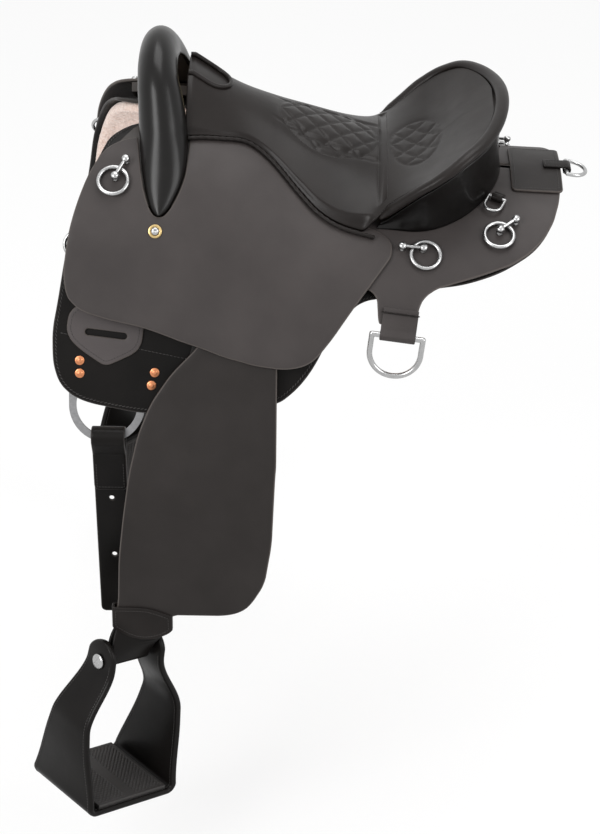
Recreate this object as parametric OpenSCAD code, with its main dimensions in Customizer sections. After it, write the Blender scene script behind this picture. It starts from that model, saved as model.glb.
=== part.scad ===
// Endurance saddle: padded leather seat on a fork-and-bar tree, with flaps, skirts,
// fenders, turned stirrups, rigging and rings. Sizes in millimetres.
// X runs from pommel to tail, Z is up, the near (left) side is at minus Y.

/* [Leather] */
// flap thickness
flap_t = 4; // [3:0.5:5]
// rear jockey thickness
jockey_t = 4; // [3:0.5:5]
// under-skirt thickness
skirt_t = 4; // [3:0.5:5]
// fender thickness
fender_t = 4; // [3:0.5:5]
// stirrup leather thickness
strap_t = 4; // [3:0.5:5]
// stirrup leather width
strap_w = 62; // [54:1:66]
// fender length down its slope
fender_l = 470; // [450:1:490]
// latigo keeper thickness
keeper_t = 3.5; // [2.5:0.5:5]
// crupper gusset thickness
gusset_t = 3.5; // [2.5:0.5:5]
// leather thickness of the small dee loops
loop_t = 3; // [2:0.5:4]
// fleece lining depth
fleece_t = 14; // [8:1:20]
// air between flap and fender, and between stirrup leather and skirt
layer_air = 1.5; // [1:0.5:3]
// assembly clearance
gap = 0.3; // [0.2:0.05:0.5]

/* [Tree] */
// tree bar thickness
bar_t = 12; // [8:1:15]
// ground seat thickness
ground_t = 3; // [2:0.5:4]
// height of the pommel's crest
fork_top = 251; // [240:1:262]
// leather wrapped over the fork
pommel_t = 4; // [3:0.5:6]
// cantle board thickness
board_t = 10; // [6:1:12]

/* [Seat] */
// seat cover thickness
cover_t = 3; // [2:0.5:4]
// width of the cantle's rolled rim
rim_w = 17; // [13:1:20]
// height of the cantle's rolled rim
rim_h = 12; // [8:1:14]
// piping radius along the seat's lower edge
welt_r = 3; // [2:0.25:3.5]
// half width of the handhold
hold_w = 28; // [22:1:32]
// length of the handhold
hold_l = 46; // [36:1:54]
// radius of the handhold's rolled edge
hold_r = 3.5; // [2.5:0.25:4]
// cantle back leather thickness
back_t = 4; // [3:0.5:5]

/* [Hardware] */
// ring radius at the middle of its wire
ring_r = 18; // [17:0.5:20]
// ring wire diameter
ring_wire = 5; // [4:0.25:5.5]
// staple head diameter
head_d = 10; // [8:0.5:10.5]
// distance between the two heads of a staple
staple_pitch = 26; // [25:0.5:28]
// staple bar diameter
staple_bar = 4; // [3:0.25:5]
// screw shank diameter
shank_d = 4; // [3:0.25:5]
// copper rivet head diameter
rivet_d = 11.6; // [9:0.2:13]
// copper rivet head height
rivet_h = 2.4; // [1.5:0.1:3]
// fork screw head diameter
screw_d = 10; // [8:0.5:12]
// fork washer diameter
washer_d = 17; // [14:0.5:20]
// rigging dee plate thickness
rig_t = 4; // [3:0.5:5]
// rigging dee outer radius
rig_r = 47; // [44:1:50]
// rigging dee bar width
rig_bar = 9; // [7:0.5:11]
// rear cinch dee width
cinch_w = 70; // [60:1:80]
// rear cinch dee depth
cinch_l = 60; // [48:1:68]
// rear cinch dee wire diameter
cinch_wire = 7; // [5:0.5:8]
// cantle dee width
cantle_dee_w = 25; // [22:1:28]
// cantle dee depth
cantle_dee_l = 28; // [24:1:32]
// cantle dee wire diameter
cantle_wire = 3.5; // [2.5:0.25:4]
// breast dee width
breast_w = 36; // [32:1:42]
// breast dee depth
breast_l = 26; // [22:1:30]
// breast dee wire diameter
breast_wire = 4.5; // [3:0.25:5]
// crupper dee width
crupper_w = 44; // [38:1:50]
// crupper dee depth
crupper_l = 30; // [24:1:36]
// crupper dee wire diameter
crupper_wire = 5; // [4:0.25:6]

/* [Latigo] */
// latigo width
latigo_w = 42; // [36:1:44]
// latigo length from the dee
latigo_l = 270; // [220:2:300]
// latigo thickness
latigo_t = 3.5; // [2.5:0.25:4]
// length of the folded ply
fold_l = 78; // [60:1:90]
// latigo hole diameter
hole_d = 6; // [4:0.5:7]
// distance between latigo holes
hole_pitch = 87; // [70:1:100]

/* [Fender] */
// stud radius of the swivel hanger
stud_r = 8; // [6:0.5:10]
// running clearance of the stud
stud_clear = 0.05; // [0.02:0.01:0.1]
// hanger plate thickness
hanger_t = 4.5; // [3:0.5:6]
// hobble strap height
hobble_h = 34; // [28:1:38]
// hobble strap thickness
hobble_t = 3; // [2:0.5:4]

/* [Stirrup] */
// outer width over the panels at the tread
stirrup_w = 144; // [132:1:158]
// depth of the tread
stirrup_d = 124; // [110:1:132]
// bolt to the sole
stirrup_h = 193; // [180:1:206]
// panel thickness
panel_t = 8; // [6:0.5:10]
// tread pad thickness
tread_t = 6; // [4:0.5:9]
// stirrup bolt diameter
bolt_d = 10; // [8:0.5:12]

/* [Hidden] */
side_slope = 66;
side_plane = 194.8;
plane_z = 20;
radius_stations = [[-320, 211], [-140, 211], [-65, 224], [0, 245], [30, 251], [60, 254],
    [150, 264], [260, 272], [345, 275]];
jockey_end = 329;
skirt_end = jockey_end - 2;
gusset_end = jockey_end + 2;
flap_top = [[-285, 262], [-283, 246], [-279, 219], [-274, 198], [-267, 174], [-258, 148],
    [-252, 135], [-243, 117], [-233, 105], [-218, 96], [-200, 91], [-130, 80], [-100, 70],
    [-65, 61], [-30, 80], [0, 106], [28, 130], [58, 147], [98, 154], [116, 166]];
flap_bottom = [[-285, 274], [-283, 290], [-279, 301], [-264, 315], [-234, 325], [-185, 336],
    [-137, 352], [-89, 361], [-50, 361], [-16, 352], [9, 340], [24, 328], [46, 297], [71, 257],
    [94, 222], [113, 191], [116, 184]];
skirt_top = [[-302, 340], [-295, 303], [-287, 254], [-274, 194], [-262, 145], [-250, 108],
    [-244, 90], [-237, 66], [-215, 42], [-190, 30], [-150, 24], [skirt_end, 24]];
skirt_bottom = [[-302, 372], [-300, 388], [-293, 408], [-277, 423], [-256, 432], [-201, 443],
    [-150, 446], [-80, 430], [-22, 400], [-3, 378], [12, 357], [24, 336], [50, 280], [80, 246],
    [120, 232], [174, 213], [201, 206], [225, 196], [248, 184], [266, 171], [290, 150], [305, 128],
    [316, 102], [323, 76], [skirt_end, 52]];
jockey_top = [[74, 150], [110, 120], [150, 60], [190, 12], [220, 6], [jockey_end, 6]];
jockey_bottom = [[74, 225], [98, 238], [100, 270], [102, 274], [145, 274], [147, 270], [148, 260],
    [150, 247], [156, 233], [171, 220], [183, 215], [224, 198], [264, 179], [286, 162], [304, 140],
    [317, 112], [325, 78], [jockey_end - 1, 52], [jockey_end, 36]];
bar_top = [[-222, 96], [-205, 72], [-180, 52], [-100, 48], [180, 46], [250, 52], [292, 70]];
bar_bottom = [[-222, 150], [-205, 176], [-190, 185], [-130, 185], [-112, 204], [-60, 204],
    [-40, 198], [120, 200], [200, 186], [250, 150], [292, 104]];
seat_mid = [[-134, 219], [-82, 183], [-31, 159], [7, 144.5], [60, 124], [107, 108], [128, 104.5],
    [158, 111], [182, 128], [207, 149], [245, 171], [261, 182]];
seat_bend = [[-134, 16], [-82, 11.9], [-31, 8.3], [7, 6.5], [60, 4.7], [98, 2.9], [128, 0.2],
    [158, -1.3], [207, -1], [261, -0.2]];
seat_half = [[-134, 86], [-100, 79], [-65, 72], [-35, 84], [1, 114], [25, 133], [55, 146],
    [98, 152], [128, 158], [150, 164], [165, 166]];
fender_top = [[-226, fender_l - 30], [-222, fender_l - 52], [-220, 360], [-214, 306], [-206, 247],
    [-195, 197], [-179, 157], [-154, 120], [-123, 88], [-103, 62], [-78, 42], [-53, 36], [-23, 62]];
fender_bottom = [[-226, fender_l], [-158, fender_l], [-157, fender_l - 33], [-87, fender_l - 33],
    [-68, fender_l - 38], [-55, fender_l - 48], [-37, fender_l - 78], [-28, 337], [-24, 245], [-23, 236]];
leaf_half = [[0, 3], [6, 9.5], [21, 16.5], [45, 24], [75, 28.5], [110, 30], [150, 28], [200, 25],
    [400, 23]];
leaf_mid = [[0, -169], [21, -167], [52, -165], [90, -166], [127, -169], [170, -174], [210, -177],
    [400, -178]];
fender_bend = [220, 340];
fender_low_slope = 80;
neck = [-226, -158];
hobble_e = fender_l - 21;
hobble_fall = 0.21;
pivot_x = -88;
strap_turn = 50;
strap_rise = 14;
pivot_e = -12;
tab_r = 25;
bolt_x = -22;
bolt_drop = 26;
bolt_head = 4;
panel_air = 5;
bolt_air = 1.5;
panel_top = 28;
panel_half = 25;
panel_head = 26;
panel_tip = 4;
panel_flare = 1.6;
panel_sway = [0.19, 0.46];
panel_tuck = [0.6, 1];
belly_x = 75;
sole_r = 10;
tread_side = 9;
tread_in = 4;
tread_land = 12;
groove_w = 3;
stirrup_tilt = 14;
stirrup_turn = 43;
fork_slope = 54;
fork_foot = [170, 86];
front_x = -134;
rim_start = 100;
cantle_x = 165;
rim_a = [96, 166];
back_x = 130;
back_a = [124, 139];
rivets = [[-268, 106], [-268, 122], [-175, 120], [-179, 136]];
rig_at = [-235, 162];
rig_plate = [[-rig_r, 96], [-20, 96], [40, 110], [70, 110], [70, 150]];
rig_web = 10;
latigo_sag = 2.5;
hole_start = 14;
screw_at = [-173, 217];
screw_h = 3;
washer_t = 1.5;
head_taper = 0.7;
keeper_shape = [[-284, 63], [-283, 72], [-278, 82], [-266, 93], [-250, 104], [-236, 113],
    [-220, 106], [-199, 96], [-191, 85], [-188, 63], [-192, 44], [-212, 32], [-260, 32], [-280, 44]];
keeper_slot = [[-257, 70], [-213, 75]];
slot_r = 4;
front_ring = [[-211, 129], [-223, 151], 0];
mid_ring = [[127, 172], [155, 171], -24];
rear_ring = [[269, 117], [249, 135], 12];
facet = 0.8;
seat_drop = 2.5;
fork_sink = 4.1;
rim_lift = 2.5;
back_c = 150;
foot_in = 141;
back_in = 4;
back_belly = 5;
seam_x = 104;
seam_w = 8;
seam_d = 3;
rib_v = 0.34;
rib_w = 0.06;
rib_d = 2.2;
side_v = 0.95;
seam_v = 0.9;
hold_low = 90;
hold_turn = 75;
foam_in = 4;
ground_y = 110;
ground_x = [-100, 70];
foam_step = 20;
foam_from = 60;
foam_back = 26;
foam_end = 223;
foam_room = 1;
lining_in = 7;
lining_e = 80;
rig_end = -158;
strap_flat = fender_l - 40;
strap_end = fender_l + 5;
hanger_l = 37;
hanger_w = 48;
cap_t = 2;
cap_in = 5.5;
cantle_turn = -21;
gusset_s = 62;
gusset_l = 65;
crupper_drop = 8;
crupper_loop_w = 20;
crupper_tongue = 30;
cinch_loop_w = 44;
cinch_tongue = 34;
cantle_tab_w = 14;
cantle_tongue = 12;
breast_tab_w = 20;
breast_tongue = 22;
reach = 200;
$fn = 24;

fender_out = -flap_t - layer_air;
strap_out = fender_out - fender_t - gap - facet / 2;
hanger_out = strap_out - strap_t - gap;
jockey_out = -flap_t - gap - facet / 4;
ground_out = jockey_out - seat_drop;
bar_front = -flap_t - gap - facet;
bar_mid = ground_out - ground_t - gap - facet;
bar_rear = jockey_out - jockey_t - gap - facet;
bar_low = min(bar_mid, bar_rear) - bar_t;
skirt_out = min(hanger_out - hanger_t - layer_air, bar_low - gap - 1.25 * facet);

function clamp01(v) = max(0, min(1, v));
function ease(a, b, v) = let(t = clamp01((v - a) / (b - a))) t * t * (3 - 2 * t);
function seg(p, x, i = 0) = i >= len(p) - 2 || x < p[i + 1][0] ? i : seg(p, x, i + 1);
function grad(p, i) = let(a = max(i - 1, 0), b = min(i + 1, len(p) - 1))
    (p[b][1] - p[a][1]) / (p[b][0] - p[a][0]);
// smooth curve through stations [x, value]
function curve(p, x) = let(i = seg(p, x), h = p[i + 1][0] - p[i][0],
    t = clamp01((x - p[i][0]) / h), u = 1 - t)
    p[i][1] * u * u * (1 + 2 * t) + p[i + 1][1] * t * t * (1 + 2 * u)
    + h * t * u * (grad(p, i) * u - grad(p, i + 1) * t);
// straight lines through stations
function line(p, x) = lookup(x, p);
function unit(v) = v / norm(v);
function mix(a, b, t) = a * (1 - t) + b * t;
function steps(a, b, n) = [for (i = [0 : n]) a + (b - a) * i / n];

// side form: an arc over the back running tangent into a sloping plane
function arc_r(x) = curve(radius_stations, x);
function skin(x, s, o) = let(r = arc_r(x), c = (side_plane - r) / cos(side_slope),
    t = s / r * 180 / PI, a = max(-side_slope, min(side_slope, t)), e = (t - a) * r * PI / 180)
    [x, -((r + o) * sin(a) + abs(e) * cos(side_slope) * sign(a)),
     c + (r + o) * cos(a) - abs(e) * sin(side_slope)];
function skin_s(x, y) = let(r = arc_r(x)) r * asin(y / r) * PI / 180;
// fender form: the same plane, steeper below the skirt
bend_l = fender_bend[1] - fender_bend[0];
bend_r = bend_l / (fender_low_slope - side_slope) * 180 / PI;
plane_y = (side_plane - plane_z * cos(side_slope)) / sin(side_slope);
function fend_a(e) = mix(side_slope, fender_low_slope, clamp01((e - fender_bend[0]) / bend_l));
function fend(x, e, o) = let(a = fend_a(e), e0 = min(e, fender_bend[0]), e1 = max(0, e - fender_bend[1]),
    y = plane_y + e0 * cos(side_slope) + bend_r * (sin(a) - sin(side_slope)) + e1 * cos(a),
    z = plane_z - e0 * sin(side_slope) - bend_r * (cos(side_slope) - cos(a)) - e1 * sin(a))
    [x, -(y + o * sin(a)), z + o * cos(a)];
function bar_o(x) = bar_front + (bar_mid - bar_front) * ease(-140, -108, x)
    + (bar_rear - bar_mid) * ease(145, 185, x);

// seat form
function seat_z(x, y) = curve(seat_mid, x) - curve(seat_bend, x) / 1000 * y * y / 2;
function oval(x, c, a, b) = x <= c ? b : b * sqrt(max(0, 1 - pow((x - c) / a, 2)));
function inset_y(x, d) = x < cantle_x ? curve(seat_half, x) - d
    : oval(x, cantle_x, rim_a[0] - d, rim_a[1] - d);
function cover_y(x) = inset_y(x, (rim_w + gap + facet) * rim_k(x));

// closed shell between an outer and an inner grid of points
module slab(a, b) {
    n = len(a) - 1;
    m = len(a[0]) - 1;
    k = (n + 1) * (m + 1);
    function o(i, j) = i * (m + 1) + j;
    function q(i, j) = k + i * (m + 1) + j;
    polyhedron(concat([for (c = a) each c], [for (c = b) each c]), concat(
        [for (i = [0 : n - 1], j = [0 : m - 1]) [o(i, j), o(i + 1, j), o(i + 1, j + 1)]],
        [for (i = [0 : n - 1], j = [0 : m - 1]) [o(i, j), o(i + 1, j + 1), o(i, j + 1)]],
        [for (i = [0 : n - 1], j = [0 : m - 1]) [q(i, j), q(i + 1, j + 1), q(i + 1, j)]],
        [for (i = [0 : n - 1], j = [0 : m - 1]) [q(i, j), q(i, j + 1), q(i + 1, j + 1)]],
        [for (i = [0 : n - 1]) each [[o(i + 1, 0), o(i, 0), q(i, 0)], [o(i + 1, 0), q(i, 0), q(i + 1, 0)]]],
        [for (i = [0 : n - 1]) each [[o(i, m), o(i + 1, m), q(i + 1, m)], [o(i, m), q(i + 1, m), q(i, m)]]],
        [for (j = [0 : m - 1]) each [[o(0, j), o(0, j + 1), q(0, j + 1)], [o(0, j), q(0, j + 1), q(0, j)]]],
        [for (j = [0 : m - 1]) each [[o(n, j + 1), o(n, j), q(n, j)], [o(n, j + 1), q(n, j), q(n, j + 1)]]]));
}

// tube through rings of points, with end caps
module loft(r) {
    n = len(r) - 1;
    m = len(r[0]);
    function o(i, j) = i * m + j % m;
    polyhedron([for (c = r) each c], concat(
        [[for (j = [0 : m - 1]) o(0, j)], [for (j = [m - 1 : -1 : 0]) o(n, j)]],
        [for (i = [0 : n - 1], j = [0 : m - 1]) [o(i, j), o(i + 1, j), o(i + 1, j + 1)]],
        [for (i = [0 : n - 1], j = [0 : m - 1]) [o(i, j), o(i + 1, j + 1), o(i, j + 1)]]));
}

// leather sheet lying on the side form between a top and a bottom edge, its edges set in by d
module hide(xs, rows, top, bottom, out, t, d = 0) {
    function at(x, j) = let(a = line(top, x), b = line(bottom, x))
        max(a + d, min(b - d, mix(a, b, j / rows)));
    slab([for (x = xs) [for (j = [0 : rows]) skin(x, at(x, j), out(x))]],
         [for (x = xs) [for (j = [0 : rows]) skin(x, at(x, j), out(x) - t)]]);
}

// round bar along a path, rings set square to the path
module piping(path, ra, rb, up) {
    n = len(path) - 1;
    loft([for (i = [0 : n]) let(t = unit(path[min(i + 1, n)] - path[max(i - 1, 0)]),
        side = unit(cross(t, up)), w = cross(side, t))
        [for (k = [0 : 7]) path[i] + ra * cos(k * 45) * side - rb * sin(k * 45) * w]]);
}

// places children on the side form: local Y up the slope, local Z outward
module on_skin(x, s, o) {
    p = skin(x, s, o);
    ex = unit(skin(x + 1, s, o) - skin(x - 1, s, o));
    ez = unit(cross(ex, skin(x, s - 1, o) - skin(x, s + 1, o)));
    ey = cross(ez, ex);
    multmatrix([[ex[0], ey[0], ez[0], p[0]], [ex[1], ey[1], ez[1], p[1]], [ex[2], ey[2], ez[2], p[2]]])
        children();
}

module on_plane(x, e, o) {
    translate(fend(x, e, o)) rotate([side_slope, 0, 0]) children();
}

neck_mid = (neck[0] + neck[1]) / 2;
bolt_at = fend(neck_mid + bolt_x, fender_l + bolt_drop, strap_out - strap_t / 2);

module on_bolt() {
    translate(bolt_at) rotate([0, stirrup_tilt, stirrup_turn]) children();
}

module on_leg() {
    translate([0, -fork_foot[0], fork_foot[1]]) rotate([fork_slope, 0, 0]) children();
}

module off() {
    mirror([0, 1, 0]) children();
}

module both() {
    children();
    off() children();
}

// wire dee: straight bar along X at the origin, rounded bow towards minus Y
module dee(w, l, d) {
    r = min((w - d) / 2, l - d) - 0.5;
    x = (w - d) / 2;
    y = l - d;
    translate([-x, 0, 0]) rotate([0, 90, 0]) cylinder(h = 2 * x, d = d);
    for (k = [-1, 1]) {
        translate([k * x, 0, 0]) sphere(d = d);
        translate([k * x, 0, 0]) rotate([90, 0, 0]) cylinder(h = y - r, d = d);
        translate([k * (x - r), r - y, 0]) rotate([0, 0, k > 0 ? -90 : 180])
            rotate_extrude(angle = 90) translate([r, 0]) circle(d = d);
    }
    translate([r - x, -y, 0]) rotate([0, 90, 0]) cylinder(h = 2 * (x - r), d = d);
}

// leather loop: eye round a dee's bar along X, tongue towards plus Y under the eye's top
module eye_loop(w, d, tongue, drop) {
    ro = d / 2 + gap + loop_t;
    translate([-w / 2, 0, 0]) rotate([90, 0, 90]) linear_extrude(w) difference() {
        union() {
            circle(r = ro);
            polygon([[0, ro], [0, ro - loop_t], [ro, drop], [tongue, drop], [tongue, drop + loop_t],
                [ro, drop + loop_t]]);
        }
        circle(d = d + 2 * gap);
    }
}

flap_xs = concat([-285, -283, -279, -274, -267, -258, -243, -233, -218], steps(-200, 9, 9),
    [24, 46, 58, 71, 83, 94, 104, 113, 116]);
skirt_xs = concat([-302, -300, -293, -287, -277, -262, -250, -237, -215], steps(-190, 24, 7),
    [50, 65, 80, 120, 174, 201, 225, 248, 266, 290, 298, 305, 316, 323, skirt_end]);
jockey_xs = [74, 86, 98, 100, 102, 124, 145, 147, 148, 150, 156, 171, 183, 224, 245, 264, 286, 296, 304,
    311, 317, 325, jockey_end - 1, jockey_end];
bar_xs = [-222, -214, -205, -192, -180, -150, -130, -112, -88, -60, -40, -20, 0, 20, 40, 66, 100, 145,
    158, 172, 185, 205, 225, 250, 272, 292];

notch_ls = [-2, 6, 14, 24, 36, 52, 90, 127, 160];
notch_air = 2;
hole = shank_d + 2 * gap;

module flap() {
    color("#4a4542") difference() {
        hide(flap_xs, 6, flap_top, flap_bottom, function(x) 0, flap_t);
        on_leg() linear_extrude(reach, center = true) polygon(concat(
            [for (l = notch_ls) [line(leaf_mid, l) - line(leaf_half, l) - notch_air, l]],
            [for (i = [len(notch_ls) - 1 : -1 : 0]) let(l = notch_ls[i])
                [line(leaf_mid, l) + line(leaf_half, l) + notch_air, l]]));
        on_skin(screw_at[0], screw_at[1], -flap_t) cylinder(h = 4 * flap_t, d = hole, center = true);
        staple_holes(front_ring, 0, flap_t);
    }
}

module skirt() {
    color("#2b2725") difference() {
        hide(skirt_xs, 8, skirt_top, skirt_bottom, function(x) skirt_out, skirt_t);
        for (p = rivets) on_plane(p[0], p[1], skirt_out) cylinder(h = 4 * skirt_t, d = hole, center = true);
    }
}

lining_out = skirt_out - skirt_t - gap - facet / 2;

// the lining stops above the rigging plate
module fleece() {
    xs = [for (x = skirt_xs) if (x > skirt_xs[2] && x < skirt_end - lining_in) x];
    color("#e8c9bd") difference() {
        hide(xs, 8, skirt_top, skirt_bottom, function(x) lining_out, fleece_t, lining_in);
        on_plane(rig_end, lining_e, skirt_out) translate([-reach, -reach, -reach / 2]) cube(reach);
    }
}

module jockey() {
    color("#3b3634") difference() {
        hide(jockey_xs, 6, jockey_top, jockey_bottom, function(x) jockey_out, jockey_t);
        staple_holes(mid_ring, jockey_out, jockey_t);
        staple_holes(rear_ring, jockey_out, jockey_t);
    }
}

module tree_bars() {
    color("#b08a5a") both() hide(bar_xs, 4, bar_top, bar_bottom, function(x) bar_o(x), bar_t);
}

// height above the foot line along the fork, and the crest point there
function fork_n() = [sin(fork_slope), cos(fork_slope)];
function fork_d() = fork_n() * fork_foot;
function fork_r() = (fork_d() - cos(fork_slope) * fork_top) / (1 - cos(fork_slope));
function leg_len() = norm([fork_r() * sin(fork_slope) - fork_foot[0],
    fork_top - fork_r() + fork_r() * cos(fork_slope) - fork_foot[1]]);
function fork_len() = leg_len() + fork_r() * fork_slope * PI / 180;
function crest(l) = l < leg_len()
    ? [fork_foot[0] - l * cos(fork_slope), fork_foot[1] + l * sin(fork_slope), fork_slope]
    : let(a = fork_slope - (l - leg_len()) / fork_r() * 180 / PI)
        [fork_r() * sin(a), fork_top - fork_r() + fork_r() * cos(a), a];
function fork_h(l) = min(34, 9 + l * l / 430);
// point on the fork's domed section: angle q round the dome, set in by d, at length l from the near foot
function dome(l, q, d) = let(k = min(l, 2 * fork_len() - l), p = crest(k), g = l > fork_len() ? 1 : -1,
    w = line(leaf_half, k), h = fork_h(k), lift = fork_sink - h,
    a = max(w - d, w * 0.3) * cos(q), b = max(h - d, h * 0.3) * sin(q) + lift)
    [line(leaf_mid, k) + a, g * (p[0] + b * sin(p[2])), p[1] + b * cos(p[2])];
function fork_ls(a) = concat([for (l = [a : 8 : 64]) l], steps(76, 2 * fork_len() - 76, 14),
    [for (l = [64 : -8 : a]) 2 * fork_len() - l]);

dome_qs = [180 : -30 : 0];

module pommel_cover() {
    ends = 2 * fork_len();
    ls = concat([0, 2, 5], fork_ls(10), [ends - 5, ends - 2, ends]);
    color("#191615") slab([for (l = ls) [for (q = dome_qs) dome(l, q, 0)]],
        [for (l = ls) [for (q = dome_qs) dome(l, q, pommel_t)]]);
}

module tree_fork() {
    color("#b08a5a") loft([for (l = fork_ls(26)) [for (q = dome_qs) dome(l, q, pommel_t + gap)]]);
}

seat_xs = concat([front_x], steps(-124, 84, 13), [94, 99, 104, 109, 116, 130, 146, 164, 182],
    [195, 207, 218, 227, 235, 241]);
side_vs = [1, side_v, 0.84, 0.68, 0.52, 0.4, rib_v, 0.28, 0.14];
seat_vs = concat(side_vs, [0], [for (i = [len(side_vs) - 1 : -1 : 0]) -side_vs[i]]);

// sewn relief: a seam across the seat and two channels along it
function bump(d, w) = 1 - ease(0, w, abs(d));
function relief(x, v) = -seam_d * bump(x - seam_x, seam_w) * (abs(v) > seam_v ? 0 : 1)
    - rib_d * bump(abs(v) - rib_v, rib_w) * ease(-40, -10, x) * (1 - ease(seam_x - 12, seam_x, x));
// cover top: crowned in the middle, drawn in to the flap along its sides
function cover_z(x, v) = let(y = v * cover_y(x), z = seat_z(x, y) + relief(x, v),
    k = abs(v) > side_v ? 1 - ease(rim_start - 22, rim_start - 6, x) : 0)
    mix(z, skin(x, skin_s(x, abs(y)), gap + facet / 2)[2] + cover_t, k);

module hold_shape(grow) {
    translate([front_x + hold_l - hold_w, 0, hold_low]) {
        cylinder(h = reach, r = hold_w + grow);
        translate([-reach, -hold_w - grow, 0]) cube([reach, 2 * (hold_w + grow), reach]);
    }
}

module seat_cover() {
    color("#3a3433") difference() {
        slab([for (x = seat_xs) [for (v = seat_vs) [x, v * cover_y(x), cover_z(x, v)]]],
             [for (x = seat_xs) [for (v = seat_vs) [x, v * cover_y(x), cover_z(x, v) - cover_t]]]);
        hold_shape(hold_r);
    }
}

function flap_y(x) = arc_r(x) * sin(line(flap_top, x) / arc_r(x) * 180 / PI);
function foam_y(x) = min(cover_y(x) * side_v - foam_in - foam_step * ease(foam_from, rim_start, x),
    x < rim_start ? flap_y(x) - notch_air : cover_y(x));
function foam_low(x) = min(foam_y(x), oval(x, back_x, back_a[0] - foam_back, back_a[1] - foam_back));
function foam_o(x) = max(ground_out, bar_o(x), mix(ground_out, jockey_out, ease(50, 72, x)))
    + gap + facet / 2;
function foam_z(x, v) = let(y = v * foam_y(x))
    seat_z(x, y) + relief(x, y / cover_y(x)) - cover_t - gap - facet;

module seat_foam() {
    xs = [for (x = seat_xs) if (x < foam_end) x];
    vs = [for (v = seat_vs) if (abs(v) != side_v && abs(v) != side_vs[8]) v];
    color("#d8c48a") difference() {
        slab([for (x = xs) [for (v = vs) [x, v * foam_y(x), foam_z(x, v)]]],
             [for (x = xs) [for (v = vs) let(y = v * foam_low(x))
                 [x, y, skin(x, skin_s(x, y), foam_o(x))[2]]]]);
        hold_shape(hold_r + foam_room);
    }
}

module ground_seat() {
    xs = [for (x = bar_xs) if (x > ground_x[0] && x < ground_x[1]) x];
    function g(x) = skin_s(x, min(foam_y(x), ground_y)) - foam_in;
    color("#6b5f52") slab([for (x = xs) [for (v = [-1 : 0.25 : 1]) skin(x, v * g(x), ground_out)]],
        [for (x = xs) [for (v = [-1 : 0.25 : 1]) skin(x, v * g(x), ground_out - ground_t)]]);
}

module hold_roll() {
    cx = front_x + hold_l - hold_w;
    path = concat([for (x = steps(front_x + 1, cx, 3)) [x, -hold_w]],
        [for (a = steps(-hold_turn, hold_turn, 10)) [cx + hold_w * cos(a), hold_w * sin(a)]],
        [for (x = steps(cx, front_x + 1, 3)) [x, hold_w]]);
    color("#24201f") piping([for (p = path) [p[0], p[1], seat_z(p[0], p[1]) + 2 * gap]],
        hold_r - gap, hold_r - gap, [0, 0, 1]);
}

// path along the cantle's rim, set in by d, from the near end round to the off end
function rim_path(d, n) = concat(
    [for (x = steps(rim_start, cantle_x - 8, n)) [x, -inset_y(x, d)]],
    [for (a = steps(-90, 90, 3 * n)) [cantle_x + (rim_a[0] - d) * cos(a), (rim_a[1] - d) * sin(a)]],
    [for (x = steps(cantle_x - 8, rim_start, n)) [x, inset_y(x, d)]]);

function rim_k(x) = ease(rim_start - 8, rim_start + 16, x);

module cantle_roll() {
    in = rim_w / 2;
    flat = concat([for (x = steps(rim_start, cantle_x - 8, 6)) [x, -inset_y(x, in * rim_k(x))]],
        [for (a = steps(-90, 90, 16)) [cantle_x + (rim_a[0] - in) * cos(a), (rim_a[1] - in) * sin(a)]],
        [for (x = steps(cantle_x - 8, rim_start, 6)) [x, inset_y(x, in * rim_k(x))]]);
    path = [for (p = flat) [p[0], p[1], seat_z(p[0], p[1]) - rim_h / 2 + rim_lift]];
    n = len(path) - 1;
    color("#2b2725") loft([for (i = [0 : n]) let(t = unit(path[min(i + 1, n)] - path[max(i - 1, 0)]),
        side = unit(cross(t, [0, 0, 1])), w = cross(side, t), k = rim_k(path[i][0]))
        [for (a = [0 : 45 : 315]) path[i] + k * (in * cos(a) * side - rim_h / 2 * sin(a) * w)]]);
}

function foot_y(x) = mix(foot_in, back_a[1], ease(rim_start - 20, back_x, x));
function back_path(n) = concat(
    [for (x = steps(rim_start - 3, back_x - 4, n)) [x, -foot_y(x)]],
    [for (a = steps(-90, 90, 3 * n)) [back_x + back_a[0] * cos(a), back_a[1] * sin(a)]],
    [for (x = steps(back_x - 4, rim_start - 3, n)) [x, foot_y(x)]]);
function drawn_in(p, d) = p + d * unit([back_c - p[0], -p[1]]);
function back_pt(p, q, h, d) = let(g = drawn_in(q, d),
    c = drawn_in(mix(p, q, h), d + back_belly * sin(180 * h)),
    top = seat_z(p[0], p[1]) - rim_h + rim_lift - gap - 3 * facet,
    low = skin(g[0], skin_s(g[0], abs(g[1])), jockey_out + gap + facet / 2)[2])
    [c[0], c[1], mix(top, low, h)];

module back_wall(d, t, lo) {
    ps = rim_path(back_in, 5);
    qs = back_path(5);
    n = len(ps) - 1;
    hs = [lo, 0.35, 0.7, 1];
    slab([for (i = [0 : n]) [for (h = hs) back_pt(ps[i], qs[i], h, d)]],
         [for (i = [0 : n]) [for (h = hs) back_pt(ps[i], qs[i], h, d + t)]]);
}

module cantle_back() {
    color("#191615") back_wall(0, back_t, 0.02);
}

module tree_cantle() {
    color("#b08a5a") back_wall(back_t + gap + facet / 2, board_t, 0.05);
}

module seat_welt() {
    xs = steps(front_x + 3, rim_start - 6, 20);
    color("#24201f") both() piping([for (x = xs) let(y = inset_y(x, 0) + welt_r + facet)
        skin(x, skin_s(x, y), welt_r + gap)], welt_r, welt_r, [0, -0.5, 1]);
}

module crupper_gusset() {
    xs = steps(gusset_end - gusset_l, gusset_end, 4);
    ss = steps(-gusset_s, gusset_s, 8);
    color("#2b2725") slab([for (x = xs) [for (s = ss) skin(x, s, jockey_out + gap + gusset_t)]],
        [for (x = xs) [for (s = ss) skin(x, s, jockey_out + gap)]]);
}

crupper_x = gusset_end + 2 + loop_t + crupper_wire / 2;
crupper_o = jockey_out + gap + gusset_t / 2;

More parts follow.
